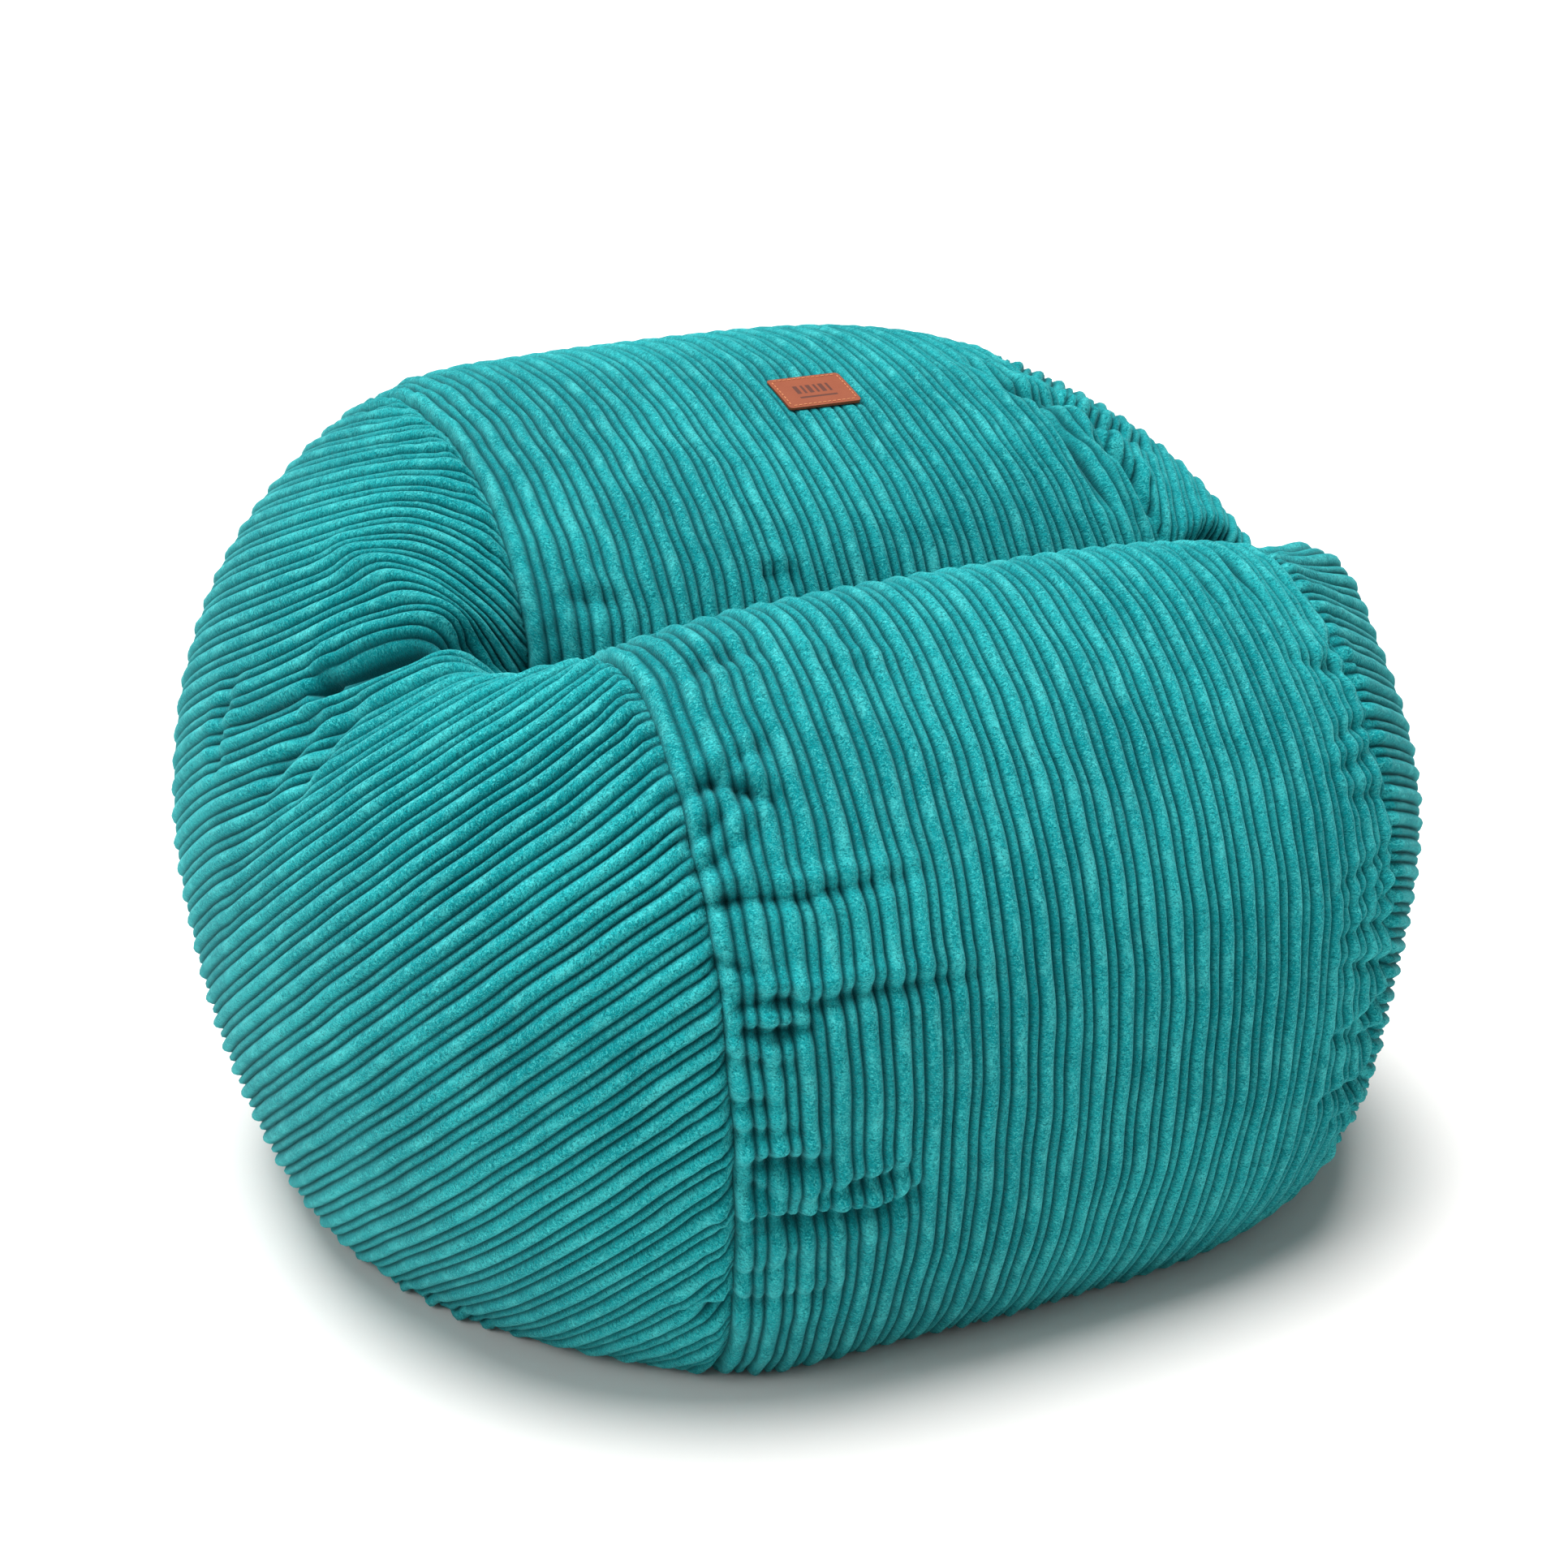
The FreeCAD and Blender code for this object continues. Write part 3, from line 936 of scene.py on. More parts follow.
@dataclass
class LabelSeat:
    """Where the label presses the pile down."""

    underside: float = -0.0012
    slope: float = 0.7
    rim: float = 0.0015
    far: float = 0.12
    middle: Array = field(init=False)
    half_width: float = field(init=False)
    half_height: float = field(init=False)
    uphill: Array = field(init=False)

    def __post_init__(self) -> None:
        """Read the label's place from the frame."""
        low, high = (np.array(corner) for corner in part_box("label_patch"))
        self.middle = (low + high) / 2.0
        self.half_width = (high[0] - low[0]) / 2.0
        uphill = np.array([0.0, high[1] - low[1], high[2] - low[2]])
        self.half_height = float(np.linalg.norm(uphill)) / 2.0
        self.uphill = uphill / np.linalg.norm(uphill)

    def highest(self, places: Array) -> Array:
        """The most that each place may rise above the smooth cover.

        Args:
            places: Places on the smooth cover, one row each.

        Returns:
            One height for each place.
        """
        from_middle = places - self.middle
        across = np.maximum(np.abs(from_middle[:, 0]) - self.half_width, 0.0)
        along = np.maximum(np.abs(from_middle @ self.uphill) - self.half_height, 0.0)
        outside = np.hypot(across, along)
        limit = self.underside + self.slope * np.maximum(outside - self.rim, 0.0)
        return np.where(np.linalg.norm(from_middle, axis=1) > self.far, 1.0, limit)


NAMED_FOLDS = (
    # Front of the wrap panel, from the left seam inwards
    Fold(((-0.325, -0.445, 0.465), (-0.260, -0.465, 0.472), (-0.155, -0.480, 0.474)), 0.009, 0.006,
         FoldKind.TUCK, FoldEnds.FAR),
    Fold(((-0.320, -0.390, 0.552), (-0.290, -0.410, 0.543), (-0.265, -0.424, 0.532)), 0.012, 0.007,
         FoldKind.TUCK),
    Fold(((-0.330, -0.480, 0.392), (-0.275, -0.490, 0.392), (-0.205, -0.500, 0.392),
          (-0.105, -0.510, 0.386)), 0.011, 0.007, FoldKind.TUCK, FoldEnds.FAR),
    Fold(((-0.330, -0.480, 0.372), (-0.300, -0.487, 0.368), (-0.265, -0.495, 0.370)), 0.014, 0.007,
         FoldKind.TUCK),
    Fold(((-0.335, -0.480, 0.247), (-0.300, -0.490, 0.250), (-0.255, -0.500, 0.253)), 0.016, 0.008,
         FoldKind.TUCK),
    Fold(((-0.275, -0.495, 0.222), (-0.230, -0.500, 0.224), (-0.180, -0.510, 0.228)), 0.010, 0.007,
         FoldKind.TUCK),
    Fold(((-0.345, -0.465, 0.190), (-0.270, -0.487, 0.192), (-0.215, -0.498, 0.196),
          (-0.165, -0.500, 0.210)), 0.017, 0.008, FoldKind.TUCK),
    Fold(((-0.340, -0.435, 0.108), (-0.290, -0.453, 0.110), (-0.225, -0.468, 0.114)), 0.010, 0.008,
         FoldKind.TUCK, FoldEnds.FAR),
    # Seat top
    Fold(((-0.205, -0.333, 0.626), (-0.160, -0.355, 0.619), (-0.115, -0.372, 0.611)), -0.0035, 0.008),
    Fold(((-0.305, -0.320, 0.610), (-0.268, -0.320, 0.621), (-0.225, -0.330, 0.624)), 0.007, 0.009),
    Fold(((0.215, -0.290, 0.636), (0.205, -0.330, 0.625), (0.203, -0.362, 0.608)), 0.005, 0.009),
    Fold(((0.255, -0.270, 0.630), (0.250, -0.320, 0.618), (0.245, -0.360, 0.600)), 0.006, 0.009),
    # Front of the back lobe above the crease
    Fold(((-0.300, -0.090, 0.620), (-0.274, -0.102, 0.612), (-0.250, -0.110, 0.606)), 0.006, 0.007,
         FoldKind.TUCK),
    Fold(((-0.125, -0.111, 0.621), (-0.102, -0.116, 0.614), (-0.076, -0.121, 0.608)), 0.006, 0.007,
         FoldKind.TUCK),
    # Right shoulder of the back lobe
    Fold(((0.235, 0.110, 0.735), (0.277, 0.021, 0.696), (0.275, -0.044, 0.661), (0.270, -0.095, 0.620)),
         0.014, 0.014),
    Fold(((0.240, 0.045, 0.713), (0.300, 0.045, 0.700), (0.350, 0.020, 0.665), (0.395, 0.000, 0.637)),
         0.016, 0.013),
    Fold(((0.310, -0.010, 0.680), (0.325, -0.050, 0.640), (0.330, -0.085, 0.600)), 0.015, 0.012),
    # Left end: ridge over the crease, valley from the crease to a dimple, and short folds round it
    Fold(((-0.455, 0.060, 0.650), (-0.438, 0.020, 0.636), (-0.415, -0.035, 0.612), (-0.385, -0.085, 0.585)),
         -0.009, 0.017, lip=0.2),
    Fold(((-0.350, -0.115, 0.560), (-0.425, -0.080, 0.560), (-0.470, -0.060, 0.551),
          (-0.500, -0.040, 0.545)), 0.020, 0.015),
    Fold(((-0.480, -0.052, 0.549), (-0.492, -0.045, 0.547), (-0.505, -0.036, 0.543)), 0.016, 0.011),
    Fold(((-0.500, -0.040, 0.530), (-0.535, -0.010, 0.520), (-0.565, 0.030, 0.500)), 0.007, 0.010),
    Fold(((-0.490, -0.070, 0.520), (-0.525, -0.060, 0.490), (-0.555, -0.050, 0.450)), 0.007, 0.011),
    Fold(((-0.460, -0.090, 0.530), (-0.490, -0.100, 0.490), (-0.520, -0.110, 0.450)), 0.006, 0.011),
    Fold(((-0.540, 0.060, 0.540), (-0.572, 0.050, 0.500), (-0.590, 0.030, 0.450)), 0.006, 0.011),
    # Right end: the same crease, less drawn in
    Fold(((0.350, -0.115, 0.560), (0.400, -0.090, 0.560), (0.450, -0.060, 0.550)), 0.018, 0.016),
)

SEAM_GATHERS = (
    Gathers(side=-1, low=0.08, high=0.58, count=16, depth=(0.005, 0.009), reach=(0.03, 0.09), seed=4),
    Gathers(side=1, low=0.10, high=0.60, count=15, depth=(0.005, 0.010), reach=(0.04, 0.11), seed=9),
)


@dataclass
class Surface:
    """A fine patch of cover before its ribs: places, normals and what the ribs need to know."""

    places: Array
    normals: Array
    repeats: Array
    run: Array
    seam_gap: Array
    faces: Array


@dataclass
class CoverDetail:
    """What every panel shares: ribs, seam groove, puckers, folds and the label's seat."""

    shape: StuffedShape
    cage: Cage
    cloth: RibbedCloth = field(default_factory=RibbedCloth)
    label_seat: LabelSeat = field(default_factory=LabelSeat)
    groove_depth: float = 0.006
    groove_width: float = 0.006
    pucker_height: float = 0.0026
    pucker_reach: float = 0.035
    sway: float = 0.0013
    tuck_under: float = 0.0015
    tuck_slope: float = 0.5
    floor_clearance: float = 0.003
    # Fold depth that lowers the crown by one: painted shade in the folds' hollows.
    fold_shade: float = 0.022
    rib_line: Place = (0.0, 0.35, 1.0)
    unevenness: float = 0.13
    lumpiness: float = 0.10
    nub_height: float = 0.45
    nub_reach: float = 0.015
    end_rise: float = 0.008
    side_rise: float = 0.005
    side_start: float = 0.2
    uneven: Ripple = Ripple(0.11, 3)
    lumps: Ripple = Ripple(0.03, 5)
    nubs: Ripple = Ripple(0.022, 8)
    puckers: Ripple = Ripple(0.030, 11)
    swaying: Ripple = Ripple(0.08, 21)
    folds: list[Fold] = field(default_factory=list)

    def lay_folds(self) -> None:
        """Lay every fold on the cover."""
        rows, columns = self.cage.places.shape[:2]
        corners = [Vector(place) for place in self.cage.places.reshape(-1, 3).tolist()]
        cover = BVHTree.FromPolygons(corners, grid_faces(rows, columns, closed=True).tolist())
        gathered = [fold for run in SEAM_GATHERS for fold in run.folds(self.shape)]
        self.folds = [fold.laid_on(cover) for fold in list(NAMED_FOLDS) + gathered]

    def folding(self, places: Array) -> Array:
        """How far the folds push each place out.

        Args:
            places: Places on the smooth cover, one row each.

        Returns:
            One distance for each place.
        """
        total = np.zeros(len(places))
        for fold in self.folds:
            total += fold.push(places)
        return total

    def dress(self, name: str, surface: Surface, end_panel: bool) -> bpy.types.Object:
        """Raise the ribs and folds of a patch and make it a piece.

        Args:
            name: Name of the piece.
            surface: The smooth patch.
            end_panel: Whether its ribs run into the seam instead of along it.

        Returns:
            The finished mesh object.
        """
        places, normals, gap = surface.places, surface.normals, surface.seam_gap
        crown = self.cloth.crown(surface.repeats)
        height = self.cloth.thick_height * (1.0 + self.unevenness * self.uneven.at(places)
                                            + self.lumpiness * self.lumps.at(places))
        if end_panel:
            nubs = 1.0 + self.nub_height * self.nubs.at(places) * np.exp(-np.abs(gap) / self.nub_reach)
            rise = smooth_step(gap / self.end_rise) * nubs
        else:
            rise = smooth_step(gap / self.side_rise + self.side_start)
        lift = (crown * rise - 0.5) * height
        lift -= self.groove_depth * np.exp(-(np.maximum(gap, 0.0) / self.groove_width) ** 2)
        lift += self.pucker_height * self.puckers.at(places) * np.exp(-np.abs(gap) / self.pucker_reach)
        lift -= np.where(gap < 0.0, self.tuck_under - self.tuck_slope * gap, 0.0)
        folds = self.folding(places)
        lift += folds
        lift = np.minimum(lift, self.label_seat.highest(places))
        side = self.swaying.at(places)[:, None] * self.sway
        tangent = unit(np.cross(normals, np.array(self.rib_line)))
        final = places + normals * lift[:, None] + tangent * side
        z = final[:, 2]
        final[:, 2] = 0.5 * (z + np.sqrt(z * z + self.floor_clearance ** 2))
        piece = mesh_piece(name, final, surface.faces)
        # The crown value drops where the folds sink in, so the finish paints shade into the folds' hollows.
        add_values(piece, "crown", crown + np.minimum(folds, 0.0) / self.fold_shade)
        cut = np.stack([surface.repeats * self.cloth.repeat, surface.run, np.zeros(len(gap))], axis=-1)
        add_places(piece, "cloth", cut)
        return piece


@dataclass
class MiddlePanel:
    """A panel between the two seams, whose ribs run up and over the bag."""

    cage: Cage
    detail: CoverDetail
    repeats: int = 26
    row_step: float = 0.0085
    folded_row_step: float = 0.0045
    folded_heights: Pair = (0.05, 0.60)
    folded_front: float = -0.30
    fewest_rows: int = 8
    probes: int = 3000

    def surface(self, first: float, last: float, edges: "ZipEdge | None" = None) -> Surface:
        """Lay the fine grid.

        Args:
            first: Share of the way round where the panel starts.
            last: Share where it ends.
            edges: How its edges by the zip are folded, if it has one.

        Returns:
            The smooth patch.
        """
        grid = self.cage.places[self.cage.rows[Span.MIDDLE]]
        stops = self.detail.cloth.stops(self.repeats)
        across = stops / self.repeats
        shares = self.even_shares(first, last)
        line = across[:, None] * (len(grid) - 1) * np.ones_like(shares)
        around = np.broadcast_to(shares * self.cage.columns, line.shape)
        places = read_grid(grid, line, around)
        normals = grid_normals(places, closed=False)
        if edges is not None:
            places = edges.fold(places, normals)
        width = self.cage.shape.seam_at(shares)
        gap = (1.0 - np.abs(2.0 * across[:, None] - 1.0)) * width
        repeats = np.broadcast_to(stops[:, None], line.shape)
        steps = np.linalg.norm(np.diff(places[len(places) // 2], axis=0), axis=1)
        run = np.broadcast_to(np.concatenate([[0.0], np.cumsum(steps)]), line.shape)
        return Surface(places.reshape(-1, 3), normals.reshape(-1, 3), repeats.ravel(), run.ravel(),
                       gap.ravel(), grid_faces(*line.shape))

    def even_shares(self, first: float, last: float) -> Array:
        """Shares of the way round for the rows, closer together where the front folds.

        Args:
            first: Share where the panel starts.
            last: Share where it ends.

        Returns:
            One share for each row, from first to last.
        """
        probe = np.linspace(first, last, self.probes)
        ring = self.cage.shape.outline.curve(False, probe)
        low, high = self.folded_heights
        folded = (ring[:, 0] < self.folded_front) & (ring[:, 1] > low) & (ring[:, 1] < high)
        step = np.where(folded, self.folded_row_step, self.row_step)
        rows = np.linalg.norm(np.diff(ring, axis=0), axis=1) / step[1:]
        done = np.concatenate([[0.0], np.cumsum(rows)])
        count = max(int(done[-1]), self.fewest_rows)
        return np.interp(np.linspace(0.0, done[-1], count + 1), done, probe)


@dataclass
class ZipEdge:
    """Folded edge of a panel beside the zip: it turns in to the tape."""

    at_end: bool
    half_length: float = 0.247
    slot_half: float = 0.0072
    turn_in: float = 0.0062
    seam_dip: float = 0.006
    roll: float = 0.006
    roundness: float = 0.999
    opening_end: float = 0.004
    drawn_back: float = 0.04

    def fold(self, places: Array, normals: Array) -> Array:
        """Move the rows next to the zip's line back from it and inwards.

        Args:
            places: Grid of places, whose last or first column is the zip's line.
            normals: Unit normals there.

        Returns:
            The changed grid of places.
        """
        order = slice(None, None, -1) if self.at_end else slice(None)
        grid, out = places[:, order].copy(), normals[:, order]
        steps = np.linalg.norm(np.diff(grid, axis=1), axis=-1)
        run = np.concatenate([np.zeros((len(grid), 1)), np.cumsum(steps, axis=1)], axis=1)
        beside = 1.0 - smooth_step((np.abs(grid[:, :1, 0]) - self.half_length) / self.opening_end + 0.5)
        along = unit(grid[:, 1:2] - grid[:, :1])
        back = self.slot_half * beside * np.clip(1.0 - run / self.drawn_back, 0.0, 1.0)
        depth = self.turn_in * beside + self.seam_dip * (1.0 - beside)
        rolled = np.clip(1.0 - run / self.roll, 0.0, 1.0)
        inwards = depth * (1.0 - np.sqrt(1.0 - rolled ** 2 * self.roundness))
        grid = grid + along * back[..., None] - out * inwards[..., None]
        return grid[:, order]


class Column(Enum):
    """Columns of the table that an end panel is read from, after its places."""

    RUN = 3
    CROSS = 4
    SEAM_GAP = 5
    FREE_HEIGHT = 6
    NORMAL = 7


@dataclass
class EndPanel:
    """A round end of the cover, cut flat from ribbed cloth, so its ribs stay straight on the cloth."""

    cage: Cage
    detail: CoverDetail
    side: Span
    step: float = 0.0075
    finer: int = 4
    under: float = -0.022
    seam_allowance: float = 0.008
    low_headings: tuple[Place, Place] = ((0.37, 0.54, 0.755), (0.15, 0.45, 0.88))
    high_heading: Place = (-0.10, 0.33, 0.93)
    fold_heading: Place = (-0.55, 0.08, 0.85)
    high_from: Pair = (-0.10, 0.40)
    high_over: Pair = (0.20, 0.17)
    fold_middle: Place = (0.370, -0.030, 0.620)
    fold_radius: float = 0.085
    overlap: float = 1e-6

    def layers(self) -> tuple[Array, Array, Array]:
        """Lay the end from its seam to its pole.

        Returns:
            The places, the places before the floor flattened them, and the places without the crease.
        """
        cage = self.cage
        around = np.arange(cage.columns) / cage.columns
        places, free = cage.span(self.side)
        if self.side is Span.LEFT:
            places, free = places[::-1], free[::-1]
        even = cage.end_grid(self.side.value, around, cage.shape.seam_at(around), creased=False)
        return places, free, even

    def headings(self, places: Array, normals: Array) -> Array:
        """Directions on the cloth at right angles to its ribs.

        Ribs lie flatter high on the back lobe, and turn down into the fold beside the crease.

        Args:
            places: Grid of places on the end.
            normals: Unit normals there.

        Returns:
            Unit vectors in the surface.
        """
        outward = np.array([float(self.side.value), 1.0, 1.0])
        own = self.low_headings[0 if self.side is Span.LEFT else 1]
        low, high, fold = (np.array(heading) * outward
                           for heading in (own, self.high_heading, self.fold_heading))
        raised = (smooth_step((places[..., 1] - self.high_from[0]) / self.high_over[0])
                  * smooth_step((places[..., 2] - self.high_from[1]) / self.high_over[1]))[..., None]
        away = np.linalg.norm(places - np.array(self.fold_middle) * outward, axis=-1) / self.fold_radius
        folded = np.exp(-away ** 4)[..., None]
        wanted = low + (high - low) * raised
        wanted = wanted + (fold - wanted) * folded
        return unit(wanted - (wanted * normals).sum(axis=-1, keepdims=True) * normals)

    def flat_cut(self, places: Array) -> Array:
        """Flatten the end as its cloth is cut, so that its ribs are straight and evenly spaced.

        Args:
            places: Grid of places from seam to pole.

        Returns:
            Distances (along, across) the ribs at the same grid, in metres.
        """
        normals = grid_normals(places, closed=True) * float(self.side.value)
        normals[-3:] = np.array([float(self.side.value), 0.0, 0.0])
        across = self.headings(places, normals)
        along = np.cross(across, normals)
        return np.stack([spread_evenly(places, along), spread_evenly(places, across)], axis=-1)

    def tuck(self, grid: Array, steps: Array) -> Array:
        """Add a row before the seam, in line with the first two rows, which lie steps apart."""
        share = (self.seam_allowance / steps)[:, None]
        return np.concatenate([(grid[0] + (grid[0] - grid[1]) * share)[None], grid])

    def surface(self) -> Surface:
        """Lay fine rows along the ribs of the flat cut and carry them back to the round end.

        Returns:
            The smooth patch, whose rows follow the ribs.
        """
        places, free, even = self.layers()
        flat = self.flat_cut(even)
        steps = np.linalg.norm(np.diff(free, axis=0), axis=-1)
        gap = np.concatenate([np.zeros((1, flat.shape[1])), np.cumsum(steps, axis=0)])
        known = np.concatenate([places, flat, gap[..., None], free[..., 2:]], axis=-1)
        known = self.tuck(known, steps[0])
        places = known[..., :3]
        rows = np.linspace(0.0, len(places) - 1.0, (len(places) - 1) * self.finer + 1)
        columns = np.arange(places.shape[1] * self.finer) / self.finer
        fine = read_grid(known, *np.meshgrid(rows, columns, indexing="ij"))
        normals = grid_normals(fine[..., :3], closed=True)
        if self.side is Span.LEFT:
            normals = -normals
        normals[-1] = np.array([float(self.side.value), 0.0, 0.0])
        return self.scan(np.concatenate([fine, normals], axis=-1))

    def scan(self, layers: Array) -> Surface:
        """Read the layers along rows of the flat cut.

        Args:
            layers: Grid of place, flat place, seam gap, free height and normal.

        Returns:
            The smooth patch, whose rows follow the ribs.
        """
        rows, columns, depth = layers.shape
        quads = grid_faces(rows, columns, closed=True)
        table = layers.reshape(-1, depth)
        quads = quads[table[quads, Column.FREE_HEIGHT.value].max(axis=1) > self.under]
        run, cross = table[:, Column.RUN.value], table[:, Column.CROSS.value]
        used = np.unique(quads)
        repeat = self.detail.cloth.repeat
        stops = self.detail.cloth.stops(int(np.ptp(cross[used]) / repeat) + 1)
        lines = cross[used].min() + stops * repeat
        steps = np.arange(run[used].min(), run[used].max(), self.step)
        values = np.full((len(lines), len(steps), depth), np.nan)
        for corners in (quads[:, [0, 1, 2]], quads[:, [0, 2, 3]]):
            self.fill(values, table, corners, (cross, run), (lines, steps))
        there = ~np.isnan(values[..., 0])
        number = np.cumsum(there).reshape(there.shape) - 1
        here, right, above, beyond = (there[:-1, :-1], there[:-1, 1:], there[1:, :-1], there[1:, 1:])
        whole = here & right & above & beyond
        faces = np.stack([number[:-1, :-1][whole], number[:-1, 1:][whole],
                          number[1:, 1:][whole], number[1:, :-1][whole]], axis=-1)
        kept = values[there]
        repeats = np.broadcast_to(stops[:, None], there.shape)[there]
        runs = np.broadcast_to(steps, there.shape)[there]
        normal = Column.NORMAL.value
        return Surface(kept[:, :3], unit(kept[:, normal:normal + 3]), repeats, runs,
                       kept[:, Column.SEAM_GAP.value], faces)

    def fill(self, values: Array, table: Array, corners: Array, axes: tuple[Array, Array],
             marks: tuple[Array, Array]) -> None:
        """Mix triangle corners' values for every crossing of two sets of lines that lies in a triangle.

        Args:
            values: Values at each crossing, filled in here.
            table: Values, one row for each vertex.
            corners: Vertex numbers, one row of three for each triangle.
            axes: The vertices' two flat coordinates.
            marks: Where the lines lie along each coordinate.
        """
        p, q = (axis[corners] for axis in axes)
        starts, ends = [], []
        for spots, lines in zip((p, q), marks):
            starts.append(np.searchsorted(lines, spots.min(axis=1)))
            ends.append(np.searchsorted(lines, spots.max(axis=1), side="right"))
        area = (p[:, 1] - p[:, 0]) * (q[:, 2] - q[:, 0]) - (p[:, 2] - p[:, 0]) * (q[:, 1] - q[:, 0])
        sound = np.abs(area) > LEAST_AREA
        for i in range(int((ends[0] - starts[0]).max())):
            for j in range(int((ends[1] - starts[1]).max())):
                near = np.flatnonzero(sound & (starts[0] + i < ends[0]) & (starts[1] + j < ends[1]))
                line, step = starts[0][near] + i, starts[1][near] + j
                dp, dq = marks[0][line] - p[near, 0], marks[1][step] - q[near, 0]
                second = (dp * (q[near, 2] - q[near, 0]) - (p[near, 2] - p[near, 0]) * dq) / area[near]
                third = ((p[near, 1] - p[near, 0]) * dq - dp * (q[near, 1] - q[near, 0])) / area[near]
                shares = np.stack([1.0 - second - third, second, third], axis=-1)
                inside = (shares > -self.overlap).all(axis=1)
                rows = table[corners[near[inside]]]
                values[line[inside], step[inside]] = (rows * shares[inside][..., None]).sum(axis=1)


# ---- Finishes --------------------------------------------------------------------------------

class NodeBench:
    """Short ways to add and join shader nodes in one material."""

    MIX_COLOURS = slice(6, 8)
    MIX_RESULT = 2

    def __init__(self, name: str) -> None:
        """Make a material with one Principled shader.

        Args:
            name: Name of the material.
        """
        self.material = bpy.data.materials.new(name)
        self.material.use_nodes = True
        self.nodes = self.material.node_tree.nodes
        self.links = self.material.node_tree.links
        self.shader = self.nodes["Principled BSDF"]

    def add(self, kind: str, **settings: object) -> bpy.types.Node:
        """Add a node; a setting that names an input sets its value, and any other sets the node.

        Args:
            kind: Blender's kind of node.
            settings: Values by the name of a setting or an input.

        Returns:
            The new node.
        """
        node = self.nodes.new(kind)
        for key, value in settings.items():
            if hasattr(node, key):
                setattr(node, key, value)
            else:
                node.inputs[key.replace("_", " ").title()].default_value = value
        return node

    def join(self, source: Socket, target: Socket) -> None:
        """Link two sockets."""
        self.links.new(source, target)

    def noise(self, scale: float, detail: float = 4.0, roughness: float = 0.6) -> Socket:
        """Noise in the frame's metres.

        Args:
            scale: Features per metre.
            detail: Finer layers.
            roughness: Strength of the finer layers.

        Returns:
            The noise's value.
        """
        place = self.add("ShaderNodeTexCoord")
        node = self.add("ShaderNodeTexNoise", Scale=scale, Detail=detail, Roughness=roughness)
        self.join(place.outputs["Object"], node.inputs["Vector"])
        return node.outputs["Fac"]

    def math(self, operation: str, a: Socket | float, b: Socket | float) -> Socket:
        """Arithmetic on two values.

        Args:
            operation: Blender's name of the operation.
            a: First value.
            b: Second value.

        Returns:
            The result.
        """
        node = self.add("ShaderNodeMath", operation=operation)
        for socket, value in zip(node.inputs, (a, b)):
            if isinstance(value, Socket):
                self.join(value, socket)
            else:
                socket.default_value = value
        return node.outputs["Value"]

    def mix(self, share: Socket, a: Socket | Colour, b: Socket | Colour) -> Socket:
        """Mix two colours by a share.

        Args:
            share: Share of the second colour.
            a: First colour.
            b: Second colour.

        Returns:
            The mixed colour.
        """
        node = self.add("ShaderNodeMix", data_type="RGBA")
        self.join(share, node.inputs[0])
        for socket, value in zip(node.inputs[self.MIX_COLOURS], (a, b)):
            if isinstance(value, Socket):
                self.join(value, socket)
            else:
                socket.default_value = value
        return node.outputs[self.MIX_RESULT]

    def settle(self, **values: float | Colour) -> None:
        """Set the shader's own sockets."""
        for name, value in values.items():
            self.shader.inputs[name.replace("_", " ")].default_value = value

    def value_of(self, name: str) -> Socket:
        """A number stored on the mesh."""
        return self.add("ShaderNodeAttribute", attribute_name=name).outputs["Fac"]

    def bump(self, height: Socket, strength: float, distance: float,
             below: Socket | None = None) -> Socket:
        """Bump from a height, on top of another if given.

        Args:
            height: Height to read.
            strength: Share of the full effect.
            distance: Height of the relief in metres.
            below: Another bump that this one lies on.

        Returns:
            The new normal.
        """
        node = self.add("ShaderNodeBump", Strength=strength, Distance=distance)
        self.join(height, node.inputs["Height"])
        if below is not None:
            self.join(below, node.inputs["Normal"])
        return node.outputs["Normal"]


